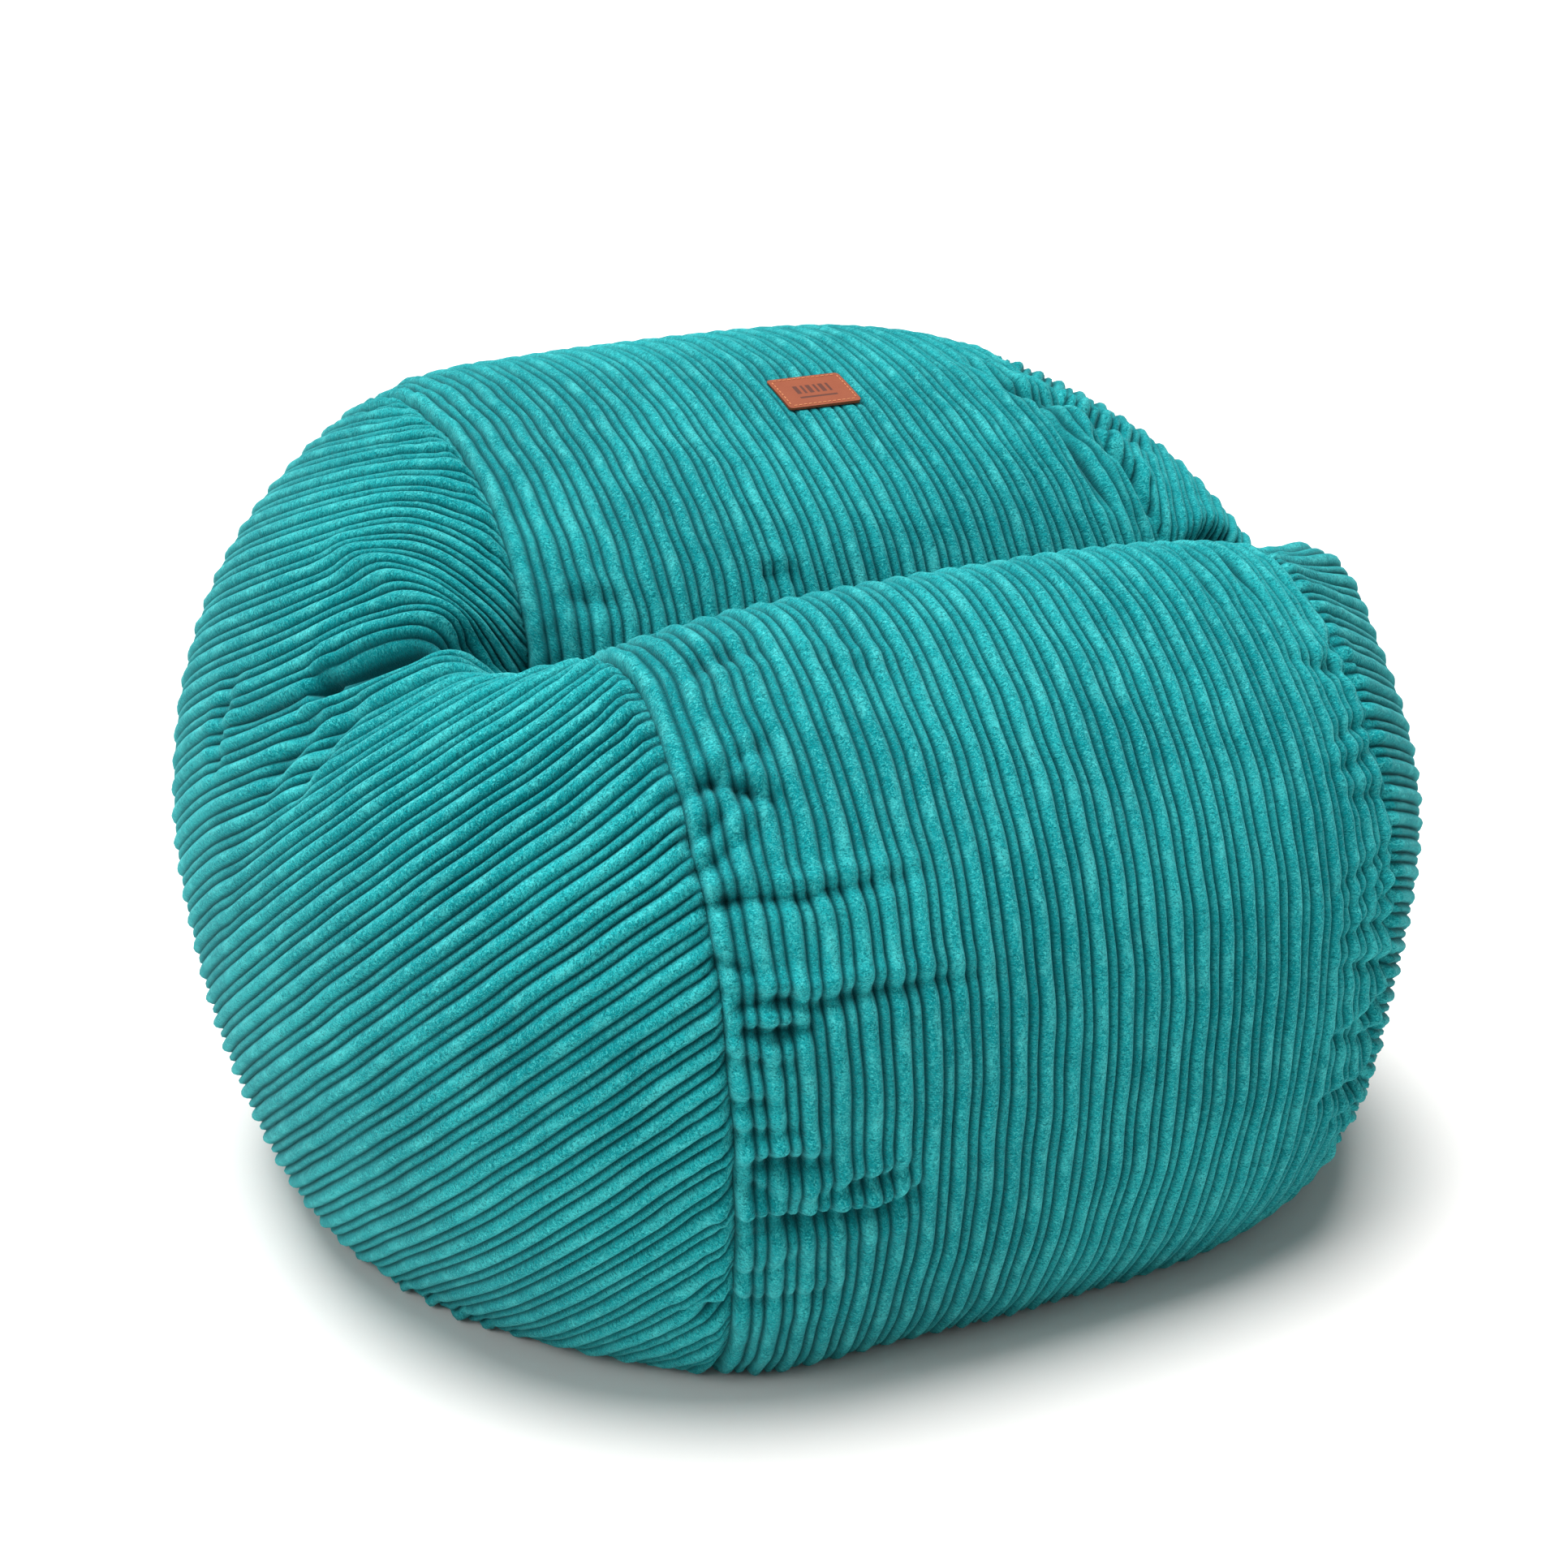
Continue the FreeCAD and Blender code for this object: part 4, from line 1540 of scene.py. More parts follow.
@dataclass(frozen=True)
class RibbedPlush:
    """Soft teal pile with paler brushed patches, curls and tips, painted shade between the ribs and in the
    curls' hollows, and painted highlights on the curls.
    """

    # Valley colour: painted shade between the ribs and in the folds' hollows, mixed in where the crown is
    # low.
    deep: Colour = (0.0, 0.085, 0.097, 1.0)
    body: Colour = (0.0, 0.275, 0.302, 1.0)
    pale: Colour = (0.014, 0.425, 0.450, 1.0)
    # Paler pile colour, used for the brushed wear and for the painted highlights on the curls.
    tips: Colour = (0.100, 0.720, 0.720, 1.0)
    shade: float = 0.45
    patch_noise: Noise = (7.0, 5.0, 0.62)
    pile_noise: Noise = (700.0, 3.0, 0.75)
    brush_scales: Pair = (70.0, 28.0)
    brush_noise: Pair = (4.0, 0.3)
    curl_scales: Pair = (430.0, 520.0)
    curl_noise: Pair = (2.0, 1.4)
    cloud: Dose = (0.40, 0.62, 0.7)
    worn: Dose = (0.46, 0.70, 0.50)
    # Painted highlight on the curls' high places on the rib crowns.
    lit: Dose = (0.50, 0.66, 0.60)
    # Painted shade in the curls' hollows.
    curl_hollow_shade: Dose = (0.34, 0.48, 0.75)
    fleck: Dose = (0.30, 0.56, 0.45)
    # Crown values over which the painted valley shade gives way to the pile's colour.
    valley: Pair = (-0.20, 0.85)
    curl_bump: Pair = (0.80, 0.0022)
    pile_bump: Pair = (0.55, 0.0009)
    roughness: float = 0.93
    specular: float = 0.10
    sheen: float = 0.28
    sheen_roughness: float = 0.40
    sheen_tint: Colour = (0.36, 0.92, 0.93, 1.0)

    def make(self) -> bpy.types.Material:
        """Build the material.

        Returns:
            The new material.
        """
        bench = NodeBench("ribbed_plush")
        crown = bench.value_of("crown")
        patches = bench.noise(*self.patch_noise)
        brushed = self.cut_noise(bench, self.brush_scales, *self.brush_noise)
        curl = self.cut_noise(bench, self.curl_scales, *self.curl_noise)
        pile = bench.noise(*self.pile_noise)
        # Shade-darkened body colour: the painted shade in the curls' hollows, and the dark pile flecks.
        dark = tuple(self.shade * value for value in self.body[:3]) + (1.0,)
        colour = bench.mix(self.share(bench, patches, self.cloud), self.body, self.pale)
        colour = bench.mix(self.share(bench, brushed, self.worn, crown), colour, self.tips)
        # Painted highlight: the curls' high places on the rib crowns turn paler.
        colour = bench.mix(self.share(bench, curl, self.lit, crown), colour, self.tips)
        # Painted shade: the curls' low places darken.
        colour = bench.mix(self.lack(bench, curl, self.curl_hollow_shade), colour, dark)
        colour = bench.mix(self.lack(bench, pile, self.fleck), colour, dark)
        # Painted shade: where the crown is low, in the valleys between the ribs and in the folds' hollows,
        # the colour turns to the dark valley colour.
        colour = bench.mix(self.step(bench, crown, *self.valley), self.deep, colour)
        bench.join(colour, bench.shader.inputs["Base Color"])
        curled = bench.bump(curl, *self.curl_bump)
        bench.join(bench.bump(pile, *self.pile_bump, curled), bench.shader.inputs["Normal"])
        bench.settle(Roughness=self.roughness, Specular_IOR_Level=self.specular, Sheen_Weight=self.sheen,
                     Sheen_Roughness=self.sheen_roughness, Sheen_Tint=self.sheen_tint)
        return bench.material

    def share(self, bench: NodeBench, source: Socket, dose: Dose, crown: Socket | None = None) -> Socket:
        """Share of a paler colour where a noise is high.

        Args:
            bench: Where the nodes go.
            source: The noise.
            dose: Where the step starts and ends, and its share.
            crown: Height on the rib, which scales the share, or None.

        Returns:
            The share.
        """
        soft = self.step(bench, source, dose[0], dose[1])
        if crown is not None:
            soft = bench.math("MULTIPLY", soft, crown)
        return bench.math("MULTIPLY", soft, dose[2])

    def lack(self, bench: NodeBench, source: Socket, dose: Dose) -> Socket:
        """Share of the darker colour where a noise is low."""
        low = bench.math("SUBTRACT", 1.0, self.step(bench, source, dose[0], dose[1]))
        return bench.math("MULTIPLY", low, dose[2])

    @staticmethod
    def step(bench: NodeBench, source: Socket, low: float, high: float) -> Socket:
        """Soft step of a value from 0 at low to 1 at high.

        Args:
            bench: Where the nodes go.
            source: The value to read.
            low: Value where the step is 0.
            high: Value where the step is 1.

        Returns:
            The step's value.
        """
        node = bench.add("ShaderNodeMapRange", interpolation_type="SMOOTHSTEP")
        bench.join(source, node.inputs["Value"])
        node.inputs["From Min"].default_value = low
        node.inputs["From Max"].default_value = high
        return node.outputs["Result"]

    @staticmethod
    def cut_noise(bench: NodeBench, scales: Pair, detail: float, distortion: float,
                  roughness: float = 0.6) -> Socket:
        """Noise laid out on the cut cloth.

        Args:
            bench: Where the nodes go.
            scales: Features per metre across and along the ribs.
            detail: Finer layers.
            distortion: How much it curls.
            roughness: Strength of the finer layers.

        Returns:
            The noise's value.
        """
        cut = bench.add("ShaderNodeAttribute", attribute_name="cloth")
        scale = bench.add("ShaderNodeMapping")
        scale.inputs["Scale"].default_value = (*scales, 1.0)
        bench.join(cut.outputs["Vector"], scale.inputs["Vector"])
        node = bench.add("ShaderNodeTexNoise", Scale=1.0, Detail=detail, Roughness=roughness,
                         Distortion=distortion)
        bench.join(scale.outputs["Vector"], node.inputs["Vector"])
        return node.outputs["Fac"]


@dataclass(frozen=True)
class WovenCloth:
    """Plain woven cloth of one yarn colour."""

    name: str
    yarn: Colour
    shadow: Colour
    threads: float = 900.0
    threads_per_wave: float = 10.0
    waviness: float = 0.4
    fuzz: float = 0.35
    weave_bump: Pair = (0.5, 0.0004)
    roughness: float = 0.85
    sheen: float = 0.1

    def make(self) -> bpy.types.Material:
        """Build the material.

        Returns:
            The new material.
        """
        bench = NodeBench(self.name)
        place = bench.add("ShaderNodeTexCoord")
        weave = []
        for direction in ("X", "Z"):
            wave = bench.add("ShaderNodeTexWave", wave_type="BANDS", bands_direction=direction,
                             Scale=self.threads / self.threads_per_wave, Distortion=self.waviness)
            bench.join(place.outputs["Object"], wave.inputs["Vector"])
            weave.append(wave.outputs["Fac"])
        cross = bench.math("MAXIMUM", weave[0], weave[1])
        fibre = bench.noise(self.threads, 2.0)
        colour = bench.mix(cross, self.shadow, self.yarn)
        colour = bench.mix(bench.math("MULTIPLY", fibre, self.fuzz), colour, self.shadow)
        bench.join(colour, bench.shader.inputs["Base Color"])
        bench.join(bench.bump(cross, *self.weave_bump), bench.shader.inputs["Normal"])
        bench.settle(Roughness=self.roughness, Sheen_Weight=self.sheen)
        return bench.material


@dataclass(frozen=True)
class LabelLeather:
    """Orange leather with a fine grain and a pressed mark of plain bars over a line."""

    middle: Place
    half_width: float
    half_height: float
    uphill: Place
    body: Colour = (0.25, 0.050, 0.014, 1.0)
    worn: Colour = (0.31, 0.074, 0.024, 1.0)
    pressed: Colour = (0.075, 0.018, 0.010, 1.0)
    cloud_noise: Pair = (60.0, 4.0)
    grain_noise: Noise = (1600.0, 4.0, 0.65)
    grain_shade: float = 0.55
    grain_share: float = 0.35
    mark_share: float = 0.9
    grain_bump: Pair = (0.45, 0.0003)
    mark_bump: Pair = (0.8, 0.0006)
    gloss_change: float = 0.25
    specular: float = 0.35
    line: tuple[Pair, Pair] = ((0.0, -0.40), (0.52, 0.05))
    bar_places: tuple[float, ...] = (-0.44, -0.26, -0.09, 0.09, 0.26, 0.44)
    bar_widths: tuple[float, ...] = (0.06, 0.035, 0.06, 0.035, 0.06, 0.035)
    bar_rise: float = 0.10
    bar_height: float = 0.26

    def make(self) -> bpy.types.Material:
        """Build the material.

        Returns:
            The new material.
        """
        bench = NodeBench("label_leather")
        cloud = bench.noise(*self.cloud_noise)
        grain = bench.noise(*self.grain_noise)
        mark = self.mark(bench)
        dark = tuple(self.grain_shade * value for value in self.body)
        colour = bench.mix(cloud, self.body, self.worn)
        colour = bench.mix(bench.math("MULTIPLY", grain, self.grain_share), colour, dark)
        colour = bench.mix(bench.math("MULTIPLY", mark, self.mark_share), colour, self.pressed)
        bench.join(colour, bench.shader.inputs["Base Color"])
        grained = bench.bump(grain, *self.grain_bump)
        sunk = bench.bump(bench.math("SUBTRACT", 1.0, mark), *self.mark_bump, grained)
        bench.join(sunk, bench.shader.inputs["Normal"])
        bench.join(bench.math("MULTIPLY_ADD", grain, self.gloss_change), bench.shader.inputs["Roughness"])
        bench.settle(Specular_IOR_Level=self.specular)
        return bench.material

    def mark(self, bench: NodeBench) -> Socket:
        """The pressed mark: 1 in its bars and its line, 0 elsewhere.

        Args:
            bench: Where the nodes go.

        Returns:
            The mark's value.
        """
        place = bench.add("ShaderNodeTexCoord").outputs["Object"]
        across = self.measure(bench, place, (1.0, 0.0, 0.0))
        along = self.measure(bench, place, self.uphill)
        total = self.bar(bench, across, along, *self.line)
        for middle, half in zip(self.bar_places, self.bar_widths):
            bar = self.bar(bench, across, along, (middle, self.bar_rise), (half, self.bar_height))
            total = bench.math("MAXIMUM", total, bar)
        return total

    def measure(self, bench: NodeBench, place: Socket, heading: Place) -> Socket:
        """Distance from the label's middle along a heading, as a share of its half size.

        Args:
            bench: Where the nodes go.
            place: The place to measure.
            heading: Unit vector across or up the label.

        Returns:
            The share, from -1 to 1 on the label.
        """
        half = self.half_width if heading[0] else self.half_height
        dot = bench.add("ShaderNodeVectorMath", operation="DOT_PRODUCT")
        bench.join(place, dot.inputs[0])
        dot.inputs[1].default_value = tuple(value / half for value in heading)
        start = sum(a * b for a, b in zip(self.middle, heading)) / half
        return bench.math("SUBTRACT", dot.outputs["Value"], start)

    @staticmethod
    def bar(bench: NodeBench, across: Socket, along: Socket,
            middle: Pair, half: Pair) -> Socket:
        """A small filled rectangle.

        Args:
            bench: Where the nodes go.
            across: Share across the label.
            along: Share up the label.
            middle: Its middle.
            half: Its half sizes.

        Returns:
            1 inside and 0 outside.
        """
        inside = None
        for value, centre, reach in zip((across, along), middle, half):
            gap = bench.math("ABSOLUTE", bench.math("SUBTRACT", value, centre), 0.0)
            one = bench.math("LESS_THAN", gap, reach)
            inside = one if inside is None else bench.math("MULTIPLY", inside, one)
        return inside


@dataclass(frozen=True)
class SatinMetal:
    """Nickel-plated die casting with fine tumbling marks."""

    metal: Colour = (0.60, 0.60, 0.58, 1.0)
    dull: Colour = (0.36, 0.35, 0.33, 1.0)
    marks_noise: Noise = (420.0, 5.0, 0.7)
    marks_bump: Pair = (0.15, 0.0002)
    roughness: float = 0.6

    def make(self) -> bpy.types.Material:
        """Build the material.

        Returns:
            The new material.
        """
        bench = NodeBench("zip_metal")
        marks = bench.noise(*self.marks_noise)
        bench.join(bench.mix(marks, self.metal, self.dull), bench.shader.inputs["Base Color"])
        bench.join(bench.math("MULTIPLY", marks, self.roughness), bench.shader.inputs["Roughness"])
        bench.join(bench.bump(marks, *self.marks_bump), bench.shader.inputs["Normal"])
        bench.settle(Metallic=1.0)
        return bench.material


@dataclass(frozen=True)
class MouldedPlastic:
    """Dyed plastic of the zip's teeth."""

    body: Colour = (0.004, 0.20, 0.19, 1.0)
    pale: Colour = (0.02, 0.30, 0.28, 1.0)
    flow_noise: Pair = (300.0, 3.0)
    flow_bump: Pair = (0.2, 0.0002)
    roughness: float = 0.42

    def make(self) -> bpy.types.Material:
        """Build the material.

        Returns:
            The new material.
        """
        bench = NodeBench("zip_teeth")
        flow = bench.noise(*self.flow_noise)
        bench.join(bench.mix(flow, self.body, self.pale), bench.shader.inputs["Base Color"])
        bench.join(bench.bump(flow, *self.flow_bump), bench.shader.inputs["Normal"])
        bench.settle(Roughness=self.roughness)
        return bench.material


@dataclass(frozen=True)
class CrumbFoam:
    """Cut foam crumbs pressed together."""

    body: Colour = (0.80, 0.72, 0.48, 1.0)
    shadow: Colour = (0.50, 0.42, 0.24, 1.0)
    crumb_scale: float = 70.0
    crumb_bump: Pair = (0.8, 0.006)
    pore_noise: Pair = (900.0, 3.0)
    pore_share: float = 0.3
    roughness: float = 0.95

    def make(self) -> bpy.types.Material:
        """Build the material.

        Returns:
            The new material.
        """
        bench = NodeBench("crumb_foam")
        place = bench.add("ShaderNodeTexCoord")
        crumbs = bench.add("ShaderNodeTexVoronoi", Scale=self.crumb_scale)
        bench.join(place.outputs["Object"], crumbs.inputs["Vector"])
        pores = bench.noise(*self.pore_noise)
        tone = bench.mix(crumbs.outputs["Distance"], self.body, self.shadow)
        bench.join(bench.mix(bench.math("MULTIPLY", pores, self.pore_share), tone, self.shadow),
                   bench.shader.inputs["Base Color"])
        bench.join(bench.bump(crumbs.outputs["Distance"], *self.crumb_bump), bench.shader.inputs["Normal"])
        bench.settle(Roughness=self.roughness)
        return bench.material


def dress_node(node: str, material: bpy.types.Material) -> None:
    """Give a CAD node its finish.

    Args:
        node: Name of the CAD node.
        material: Its finish.
    """
    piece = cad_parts[node]
    piece.data.materials.clear()
    piece.data.materials.append(material)


# ---- Sub-assemblies --------------------------------------------------------------------------

@dataclass
class BasePanel:
    """The plain cloth under the bag."""

    rings: int = 40
    columns: int = 200
    corner: float = 0.72
    reach: Pair = (0.02, 0.985)
    height: float = 0.0012
    wave: float = 0.0010
    waves: Ripple = Ripple(0.12, 31)
    thickness: float = 0.0016
    yarn: Colour = (0.035, 0.11, 0.11, 1.0)
    shadow: Colour = (0.01, 0.035, 0.035, 1.0)

    def build(self) -> bpy.types.Object:
        """Make the panel.

        Returns:
            The new piece, with its finish.
        """
        low, high = (np.array(corner[:2]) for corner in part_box("cover_base_panel"))
        angle = np.arange(self.columns) * math.tau / self.columns
        round_trip = np.stack([np.cos(angle), np.sin(angle)], axis=-1)
        rim = (high - low) / 2.0 * np.sign(round_trip) * np.abs(round_trip) ** self.corner
        share = np.linspace(*self.reach, self.rings)[:, None, None]
        flat = (low + high) / 2.0 + rim * share
        lift = self.height + self.wave * self.waves.at(flat)
        top = np.concatenate([flat, lift[..., None]], axis=-1)
        faces = grid_faces(self.rings, self.columns, closed=True)[:, ::-1]
        piece = mesh_piece("base_panel", top.reshape(-1, 3), faces)
        thick = piece.modifiers.new("cloth_thickness", "SOLIDIFY")
        thick.thickness = self.thickness
        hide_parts("cover_base_panel")
        piece.data.materials.append(WovenCloth("base_cloth", self.yarn, self.shadow).make())
        return piece


@dataclass
class RemovableCover:
    """The ribbed cover: a wrap panel, a lower back panel, two ends and a plain base."""

    shape: StuffedShape
    cage: Cage
    detail: CoverDetail
    band_half: float = 0.011
    band_depth: float = 0.0145
    band_bow: float = 0.0015
    band_rows: int = 7
    # Low crown, so the seam allowance takes the painted valley shade.
    band_shade_crown: float = 0.15
    past_floor: float = 0.02
    probes: int = 400

    def build(self) -> list[bpy.types.Object]:
        """Make every panel and give it its finish.

        Returns:
            The pieces.
        """
        plush = RibbedPlush().make()
        outline = self.shape.outline
        zip_share = outline.share_of("lower_back")
        under_front = self.floor_share(0.0, outline.share_of("lower_front"))
        under_back = self.floor_share(1.0, zip_share)
        middle = MiddlePanel(self.cage, self.detail)
        wrap = self.detail.dress(
            "wrap_panel", middle.surface(under_front, zip_share, ZipEdge(at_end=True)), False)
        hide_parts("cover_wrap_panel")
        lower = self.detail.dress(
            "lower_back_panel", middle.surface(zip_share, under_back, ZipEdge(at_end=False)), False)
        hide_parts("cover_lower_back_panel")
        pieces = [wrap, lower]
        for side, node in ((Span.LEFT, "cover_left_end_panel"), (Span.RIGHT, "cover_right_end_panel")):
            end = EndPanel(self.cage, self.detail, side)
            piece = self.detail.dress(side.name.lower() + "_end_panel", end.surface(), True)
            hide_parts(node)
            pieces += [piece, self.seam_band(side)]
        for piece in pieces:
            piece.data.materials.append(plush)
        pieces.append(BasePanel().build())
        for piece in pieces:
            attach(piece, "bag")
        return pieces

    def seam_band(self, side: Span) -> bpy.types.Object:
        """Make the seam allowance: the two panels' edges, sewn together and folded flat inside a seam.

        Args:
            side: The end whose seam it is.

        Returns:
            A thin band all the way round.
        """
        cage = self.cage
        last = len(cage.places) - 1
        row = cage.rows[Span.MIDDLE].start if side is Span.LEFT else cage.rows[Span.MIDDLE].stop - 1
        normals = cage.normals()
        ring, out = cage.places[row], normals[row]
        rows = []
        for reach in np.linspace(-self.band_half, self.band_half, self.band_rows):
            beside = cage.places[min(max(row + (1 if reach > 0.0 else -1), 0), last)]
            along = unit(beside - ring)
            depth = self.band_depth + self.band_bow * abs(reach) / self.band_half
            rows.append(ring + along * abs(reach) - out * depth)
        places = np.array(rows)
        places[..., 2] = np.maximum(places[..., 2], self.band_depth * 0.5)
        name = side.name.lower() + "_seam_allowance"
        piece = mesh_piece(name, places.reshape(-1, 3), grid_faces(*places.shape[:2], closed=True))
        # Its low crown gives the band the dark valley colour: painted shade inside the seam.
        add_values(piece, "crown", np.full(places.shape[0] * places.shape[1], self.band_shade_crown))
        add_places(piece, "cloth", places)
        return piece

    def floor_share(self, start: float, end: float) -> float:
        """Share of the way round where a panel ends under the bag, a little past the floor.

        Args:
            start: Share where the search starts.
            end: Share where it ends.

        Returns:
            The share.
        """
        probe = np.linspace(start, end, self.probes)
        height = self.shape.outline.curve(False, probe)[:, 1]
        return float(probe[np.abs(height + self.past_floor).argmin()])


@dataclass
class BackZip:
    """The zip across the lower back, kept as designed and given its finishes."""

    tapes: tuple[str, ...] = ("zip_upper_tape", "zip_lower_tape")
    teeth: tuple[str, ...] = ("zip_upper_teeth", "zip_lower_teeth", "zip_end_stops")
    metal: tuple[str, ...] = ("zip_slider", "zip_pull")
    yarn: Colour = (0.006, 0.22, 0.21, 1.0)
    shadow: Colour = (0.0, 0.09, 0.09, 1.0)
    threads: float = 1400.0

    def build(self) -> list[bpy.types.Object]:
        """Dress every node of the zip.

        Returns:
            The pieces.
        """
        tape = WovenCloth("zip_tape", self.yarn, self.shadow, threads=self.threads).make()
        for nodes, finish in ((self.tapes, tape), (self.teeth, MouldedPlastic().make()),
                              (self.metal, SatinMetal().make())):
            for node in nodes:
                dress_node(node, finish)
        return [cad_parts[node] for node in self.tapes + self.teeth + self.metal]


class FoamHalf(Enum):
    """The two halves of the folded filling."""

    SEAT = "seat"
    BACK = "back"


@dataclass
class FoldedMattress:
    """The foam mattress inside: a cloth case round two halves of crumb foam."""

    cage: Cage
    detail: CoverDetail
    case_depth: float = 0.020
    foam_depth: float = 0.025
    lump_height: float = 0.0012
    lumps: Ripple = Ripple(0.07, 41)
    floor_share: float = 0.4
    case_yarn: Colour = (0.80, 0.80, 0.77, 1.0)
    case_shadow: Colour = (0.55, 0.55, 0.52, 1.0)

    def build(self) -> list[bpy.types.Object]:
        """Make the case and the two halves of the filling.

        Returns:
            The pieces.
        """
        case_cloth = WovenCloth("case_cloth", self.case_yarn, self.case_shadow).make()
        foam = CrumbFoam().make()
        case = self.inner_skin("mattress_case", self.case_depth, None)
        case.data.materials.append(case_cloth)
        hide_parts("mattress_case_left_end", "mattress_case_middle", "mattress_case_right_end")
        pieces = [case]
        for half, node in ((FoamHalf.SEAT, "foam_fill_seat_half"), (FoamHalf.BACK, "foam_fill_back_half")):
            piece = self.inner_skin("foam_" + half.value + "_half", self.foam_depth, half)
            piece.data.materials.append(foam)
            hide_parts(node)
            pieces.append(piece)
        for piece in pieces:
            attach(piece, "bag")
        return pieces

    def inner_skin(self, name: str, depth: float, half: FoamHalf | None) -> bpy.types.Object:
        """A lumpy skin at a depth inside the cover, whole or one half of the fold.

        Args:
            name: Name of the piece.
            depth: How far inside the cover it lies.
            half: Which half of the fold, or None for the whole.

        Returns:
            The new piece.
        """
        places, normals = self.cage.places, self.cage.normals()
        folds = np.minimum(self.detail.folding(places.reshape(-1, 3)).reshape(places.shape[:2]), 0.0)
        lumps = self.lump_height * self.lumps.at(places)
        inner = places + normals * (folds - depth + lumps)[..., None]
        inner[..., 2] = np.maximum(inner[..., 2], depth * self.floor_share)
        if half is None:
            return mesh_piece(name, inner.reshape(-1, 3), grid_faces(*inner.shape[:2], closed=True))
        outline = self.cage.shape.outline
        first = round(outline.share_of("crease_bottom") * self.cage.columns)
        last = self.cage.columns
        columns = np.arange(0, first) if half is FoamHalf.SEAT else np.arange(first, last)
        kept = inner[:, columns]
        return mesh_piece(name, kept.reshape(-1, 3), grid_faces(*kept.shape[:2], closed=True))


@dataclass
class LabelPatch:
    """Leather patch on the front of the back lobe with a pressed mark and edge stitches."""

    seat: LabelSeat
    thread: Colour = (0.75, 0.30, 0.12, 1.0)
    thread_shadow: Colour = (0.40, 0.12, 0.04, 1.0)
    twist: float = 3000.0

    def build(self) -> list[bpy.types.Object]:
        """Dress the patch and its stitches.

        Returns:
            The pieces.
        """
        seat = self.seat
        leather = LabelLeather(tuple(seat.middle.tolist()), seat.half_width, seat.half_height,
                               tuple(seat.uphill.tolist()))
        dress_node("label_patch", leather.make())
        thread = WovenCloth("label_thread", self.thread, self.thread_shadow, threads=self.twist)
        dress_node("label_stitching", thread.make())
        return [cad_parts["label_patch"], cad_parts["label_stitching"]]


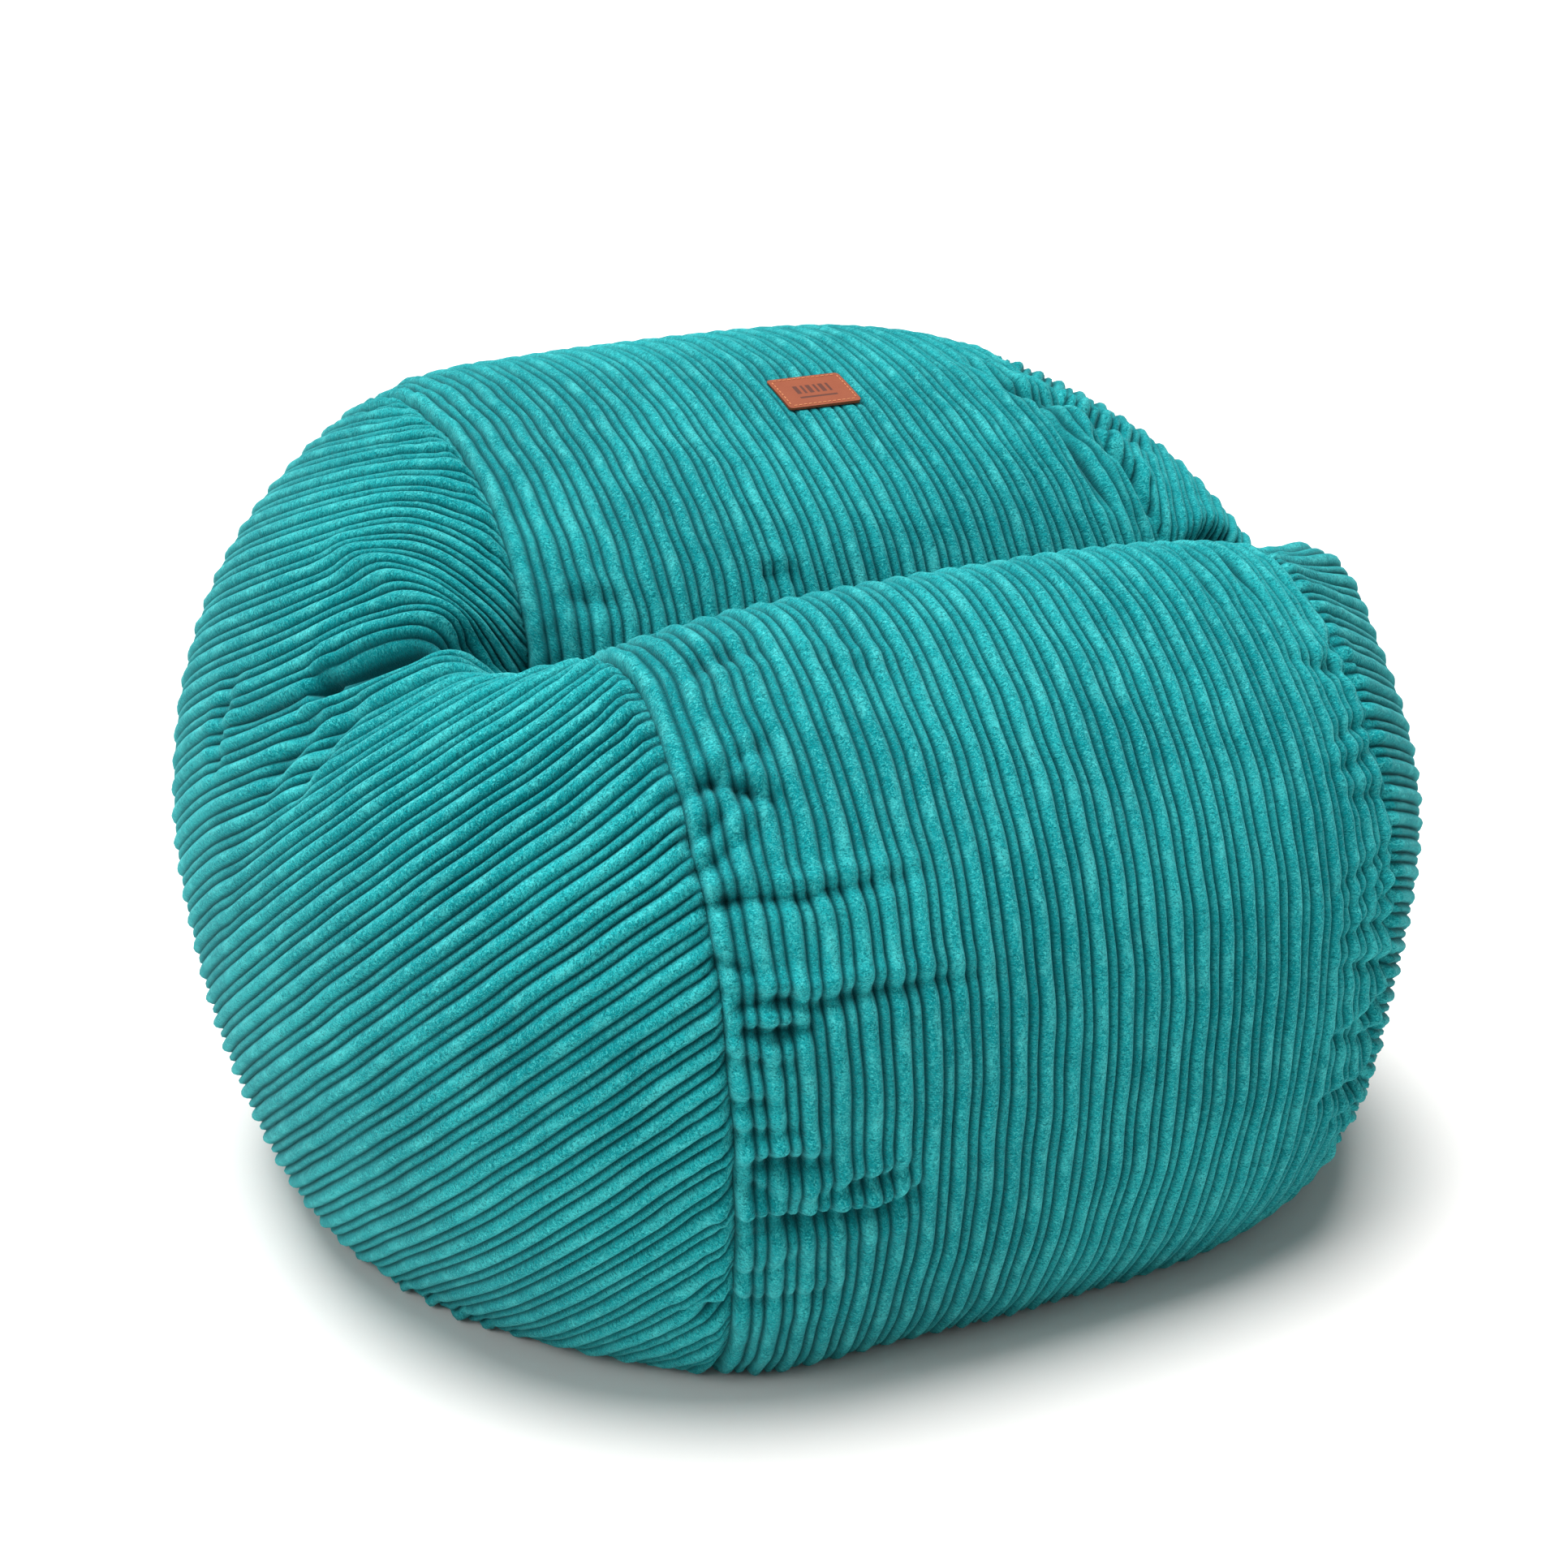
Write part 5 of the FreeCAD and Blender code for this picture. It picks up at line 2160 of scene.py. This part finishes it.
@dataclass
class Studio:
    """Pale floor, soft lamps and the camera."""

    azimuth: float = -28.5
    elevation: float = 21.3
    distance: float = 2.533
    target: Place = (-0.025, 0.010, 0.354)
    lens: float = 59.2
    sensor: float = 36.0
    floor_size: float = 40.0
    floor_dark: Colour = (0.86, 0.83, 0.81, 1.0)
    floor_light: Colour = (0.88, 0.85, 0.83, 1.0)
    floor_noise: Pair = (1.5, 2.0)
    floor_roughness: float = 0.9
    room_light: float = 0.25
    sky_from: Place = (-0.25, 0.5, 4.0)
    sky_strength: float = 4.9
    sky_angle: float = 44.0
    left_from: Place = (-3.2, -0.6, 2.2)
    left_power: float = 40.0
    left_size: float = 1.8
    front_from: Place = (0.6, -3.4, 2.6)
    front_power: float = 4.0
    front_size: float = 1.6
    aim: Place = (0.0, 0.0, 0.3)
    white: Colour = (1.0, 1.0, 1.0, 1.0)

    def build(self) -> None:
        """Set up everything that isn't the chair."""
        self.floor()
        self.lamps()
        self.camera()

    def floor(self) -> None:
        """Lay the floor."""
        half = self.floor_size / 2.0
        corners = np.array([(-half, -half, 0.0), (half, -half, 0.0), (half, half, 0.0), (-half, half, 0.0)])
        floor = mesh_piece("floor", corners, np.array([[0, 1, 2, 3]]))
        bench = NodeBench("pale_floor")
        tone = bench.noise(*self.floor_noise)
        bench.join(bench.mix(tone, self.floor_dark, self.floor_light), bench.shader.inputs["Base Color"])
        bench.settle(Roughness=self.floor_roughness)
        floor.data.materials.append(bench.material)

    def lamps(self) -> None:
        """Hang the lamps and light the room; the room looks white and lights softly."""
        world = bpy.data.worlds.new("studio")
        world.use_nodes = True
        nodes, links = world.node_tree.nodes, world.node_tree.links
        soft = nodes["Background"]
        soft.inputs["Color"].default_value = self.white
        soft.inputs["Strength"].default_value = self.room_light
        plain = nodes.new("ShaderNodeBackground")
        plain.inputs["Color"].default_value = self.white
        seen, mix = nodes.new("ShaderNodeLightPath"), nodes.new("ShaderNodeMixShader")
        links.new(seen.outputs["Is Camera Ray"], mix.inputs[0])
        links.new(soft.outputs[0], mix.inputs[1])
        links.new(plain.outputs[0], mix.inputs[2])
        links.new(mix.outputs[0], nodes["World Output"].inputs["Surface"])
        bpy.context.scene.world = world
        bpy.context.scene.view_settings.view_transform = "Standard"
        self.lamp("sky", "SUN", self.sky_from, self.sky_strength).angle = math.radians(self.sky_angle)
        self.lamp("left_lamp", "AREA", self.left_from, self.left_power).size = self.left_size
        self.lamp("front_lamp", "AREA", self.front_from, self.front_power).size = self.front_size

    def lamp(self, name: str, kind: str, place: Place, power: float) -> bpy.types.Light:
        """Hang a lamp that points at the chair.

        Args:
            name: Name of the lamp.
            kind: Blender's kind of light.
            place: Where it hangs.
            power: Its energy.

        Returns:
            The lamp's data.
        """
        lamp = bpy.data.objects.new(name, bpy.data.lights.new(name, kind))
        lamp.data.energy = power
        lamp.location = place
        towards = Vector(self.aim) - lamp.location
        lamp.rotation_euler = towards.to_track_quat("-Z", "Y").to_euler()
        bpy.context.scene.collection.objects.link(lamp)
        return lamp.data

    def camera(self) -> None:
        """Place the camera."""
        turn, rise = math.radians(self.azimuth), math.radians(self.elevation)
        back = Vector((math.sin(turn) * math.cos(rise), -math.cos(turn) * math.cos(rise), math.sin(rise)))
        camera = bpy.data.objects.new("camera", bpy.data.cameras.new("camera"))
        camera.data.lens = self.lens
        camera.data.sensor_width = self.sensor
        camera.location = Vector(self.target) + back * self.distance
        camera.rotation_euler = (-back).to_track_quat("-Z", "Y").to_euler()
        bpy.context.scene.collection.objects.link(camera)
        bpy.context.scene.camera = camera


# ---- Build -----------------------------------------------------------------------------------


def main() -> None:
    """Build the chair and its studio."""
    logging.basicConfig(level=logging.INFO, format="%(name)s: %(message)s")
    shape = StuffedShape()
    shape.centre_on_footprint()
    cage = Cage(shape)
    cage.build()
    Drape().run(cage)
    detail = CoverDetail(shape, cage)
    detail.lay_folds()
    parts = (RemovableCover(shape, cage, detail), BackZip(), FoldedMattress(cage, detail),
             LabelPatch(detail.label_seat))
    for part in parts:
        for piece in part.build():
            LOG.info("%s: %s, %d faces", type(part).__name__, piece.name, len(piece.data.polygons))
    Studio().build()


if __name__ == "__main__":
    main()
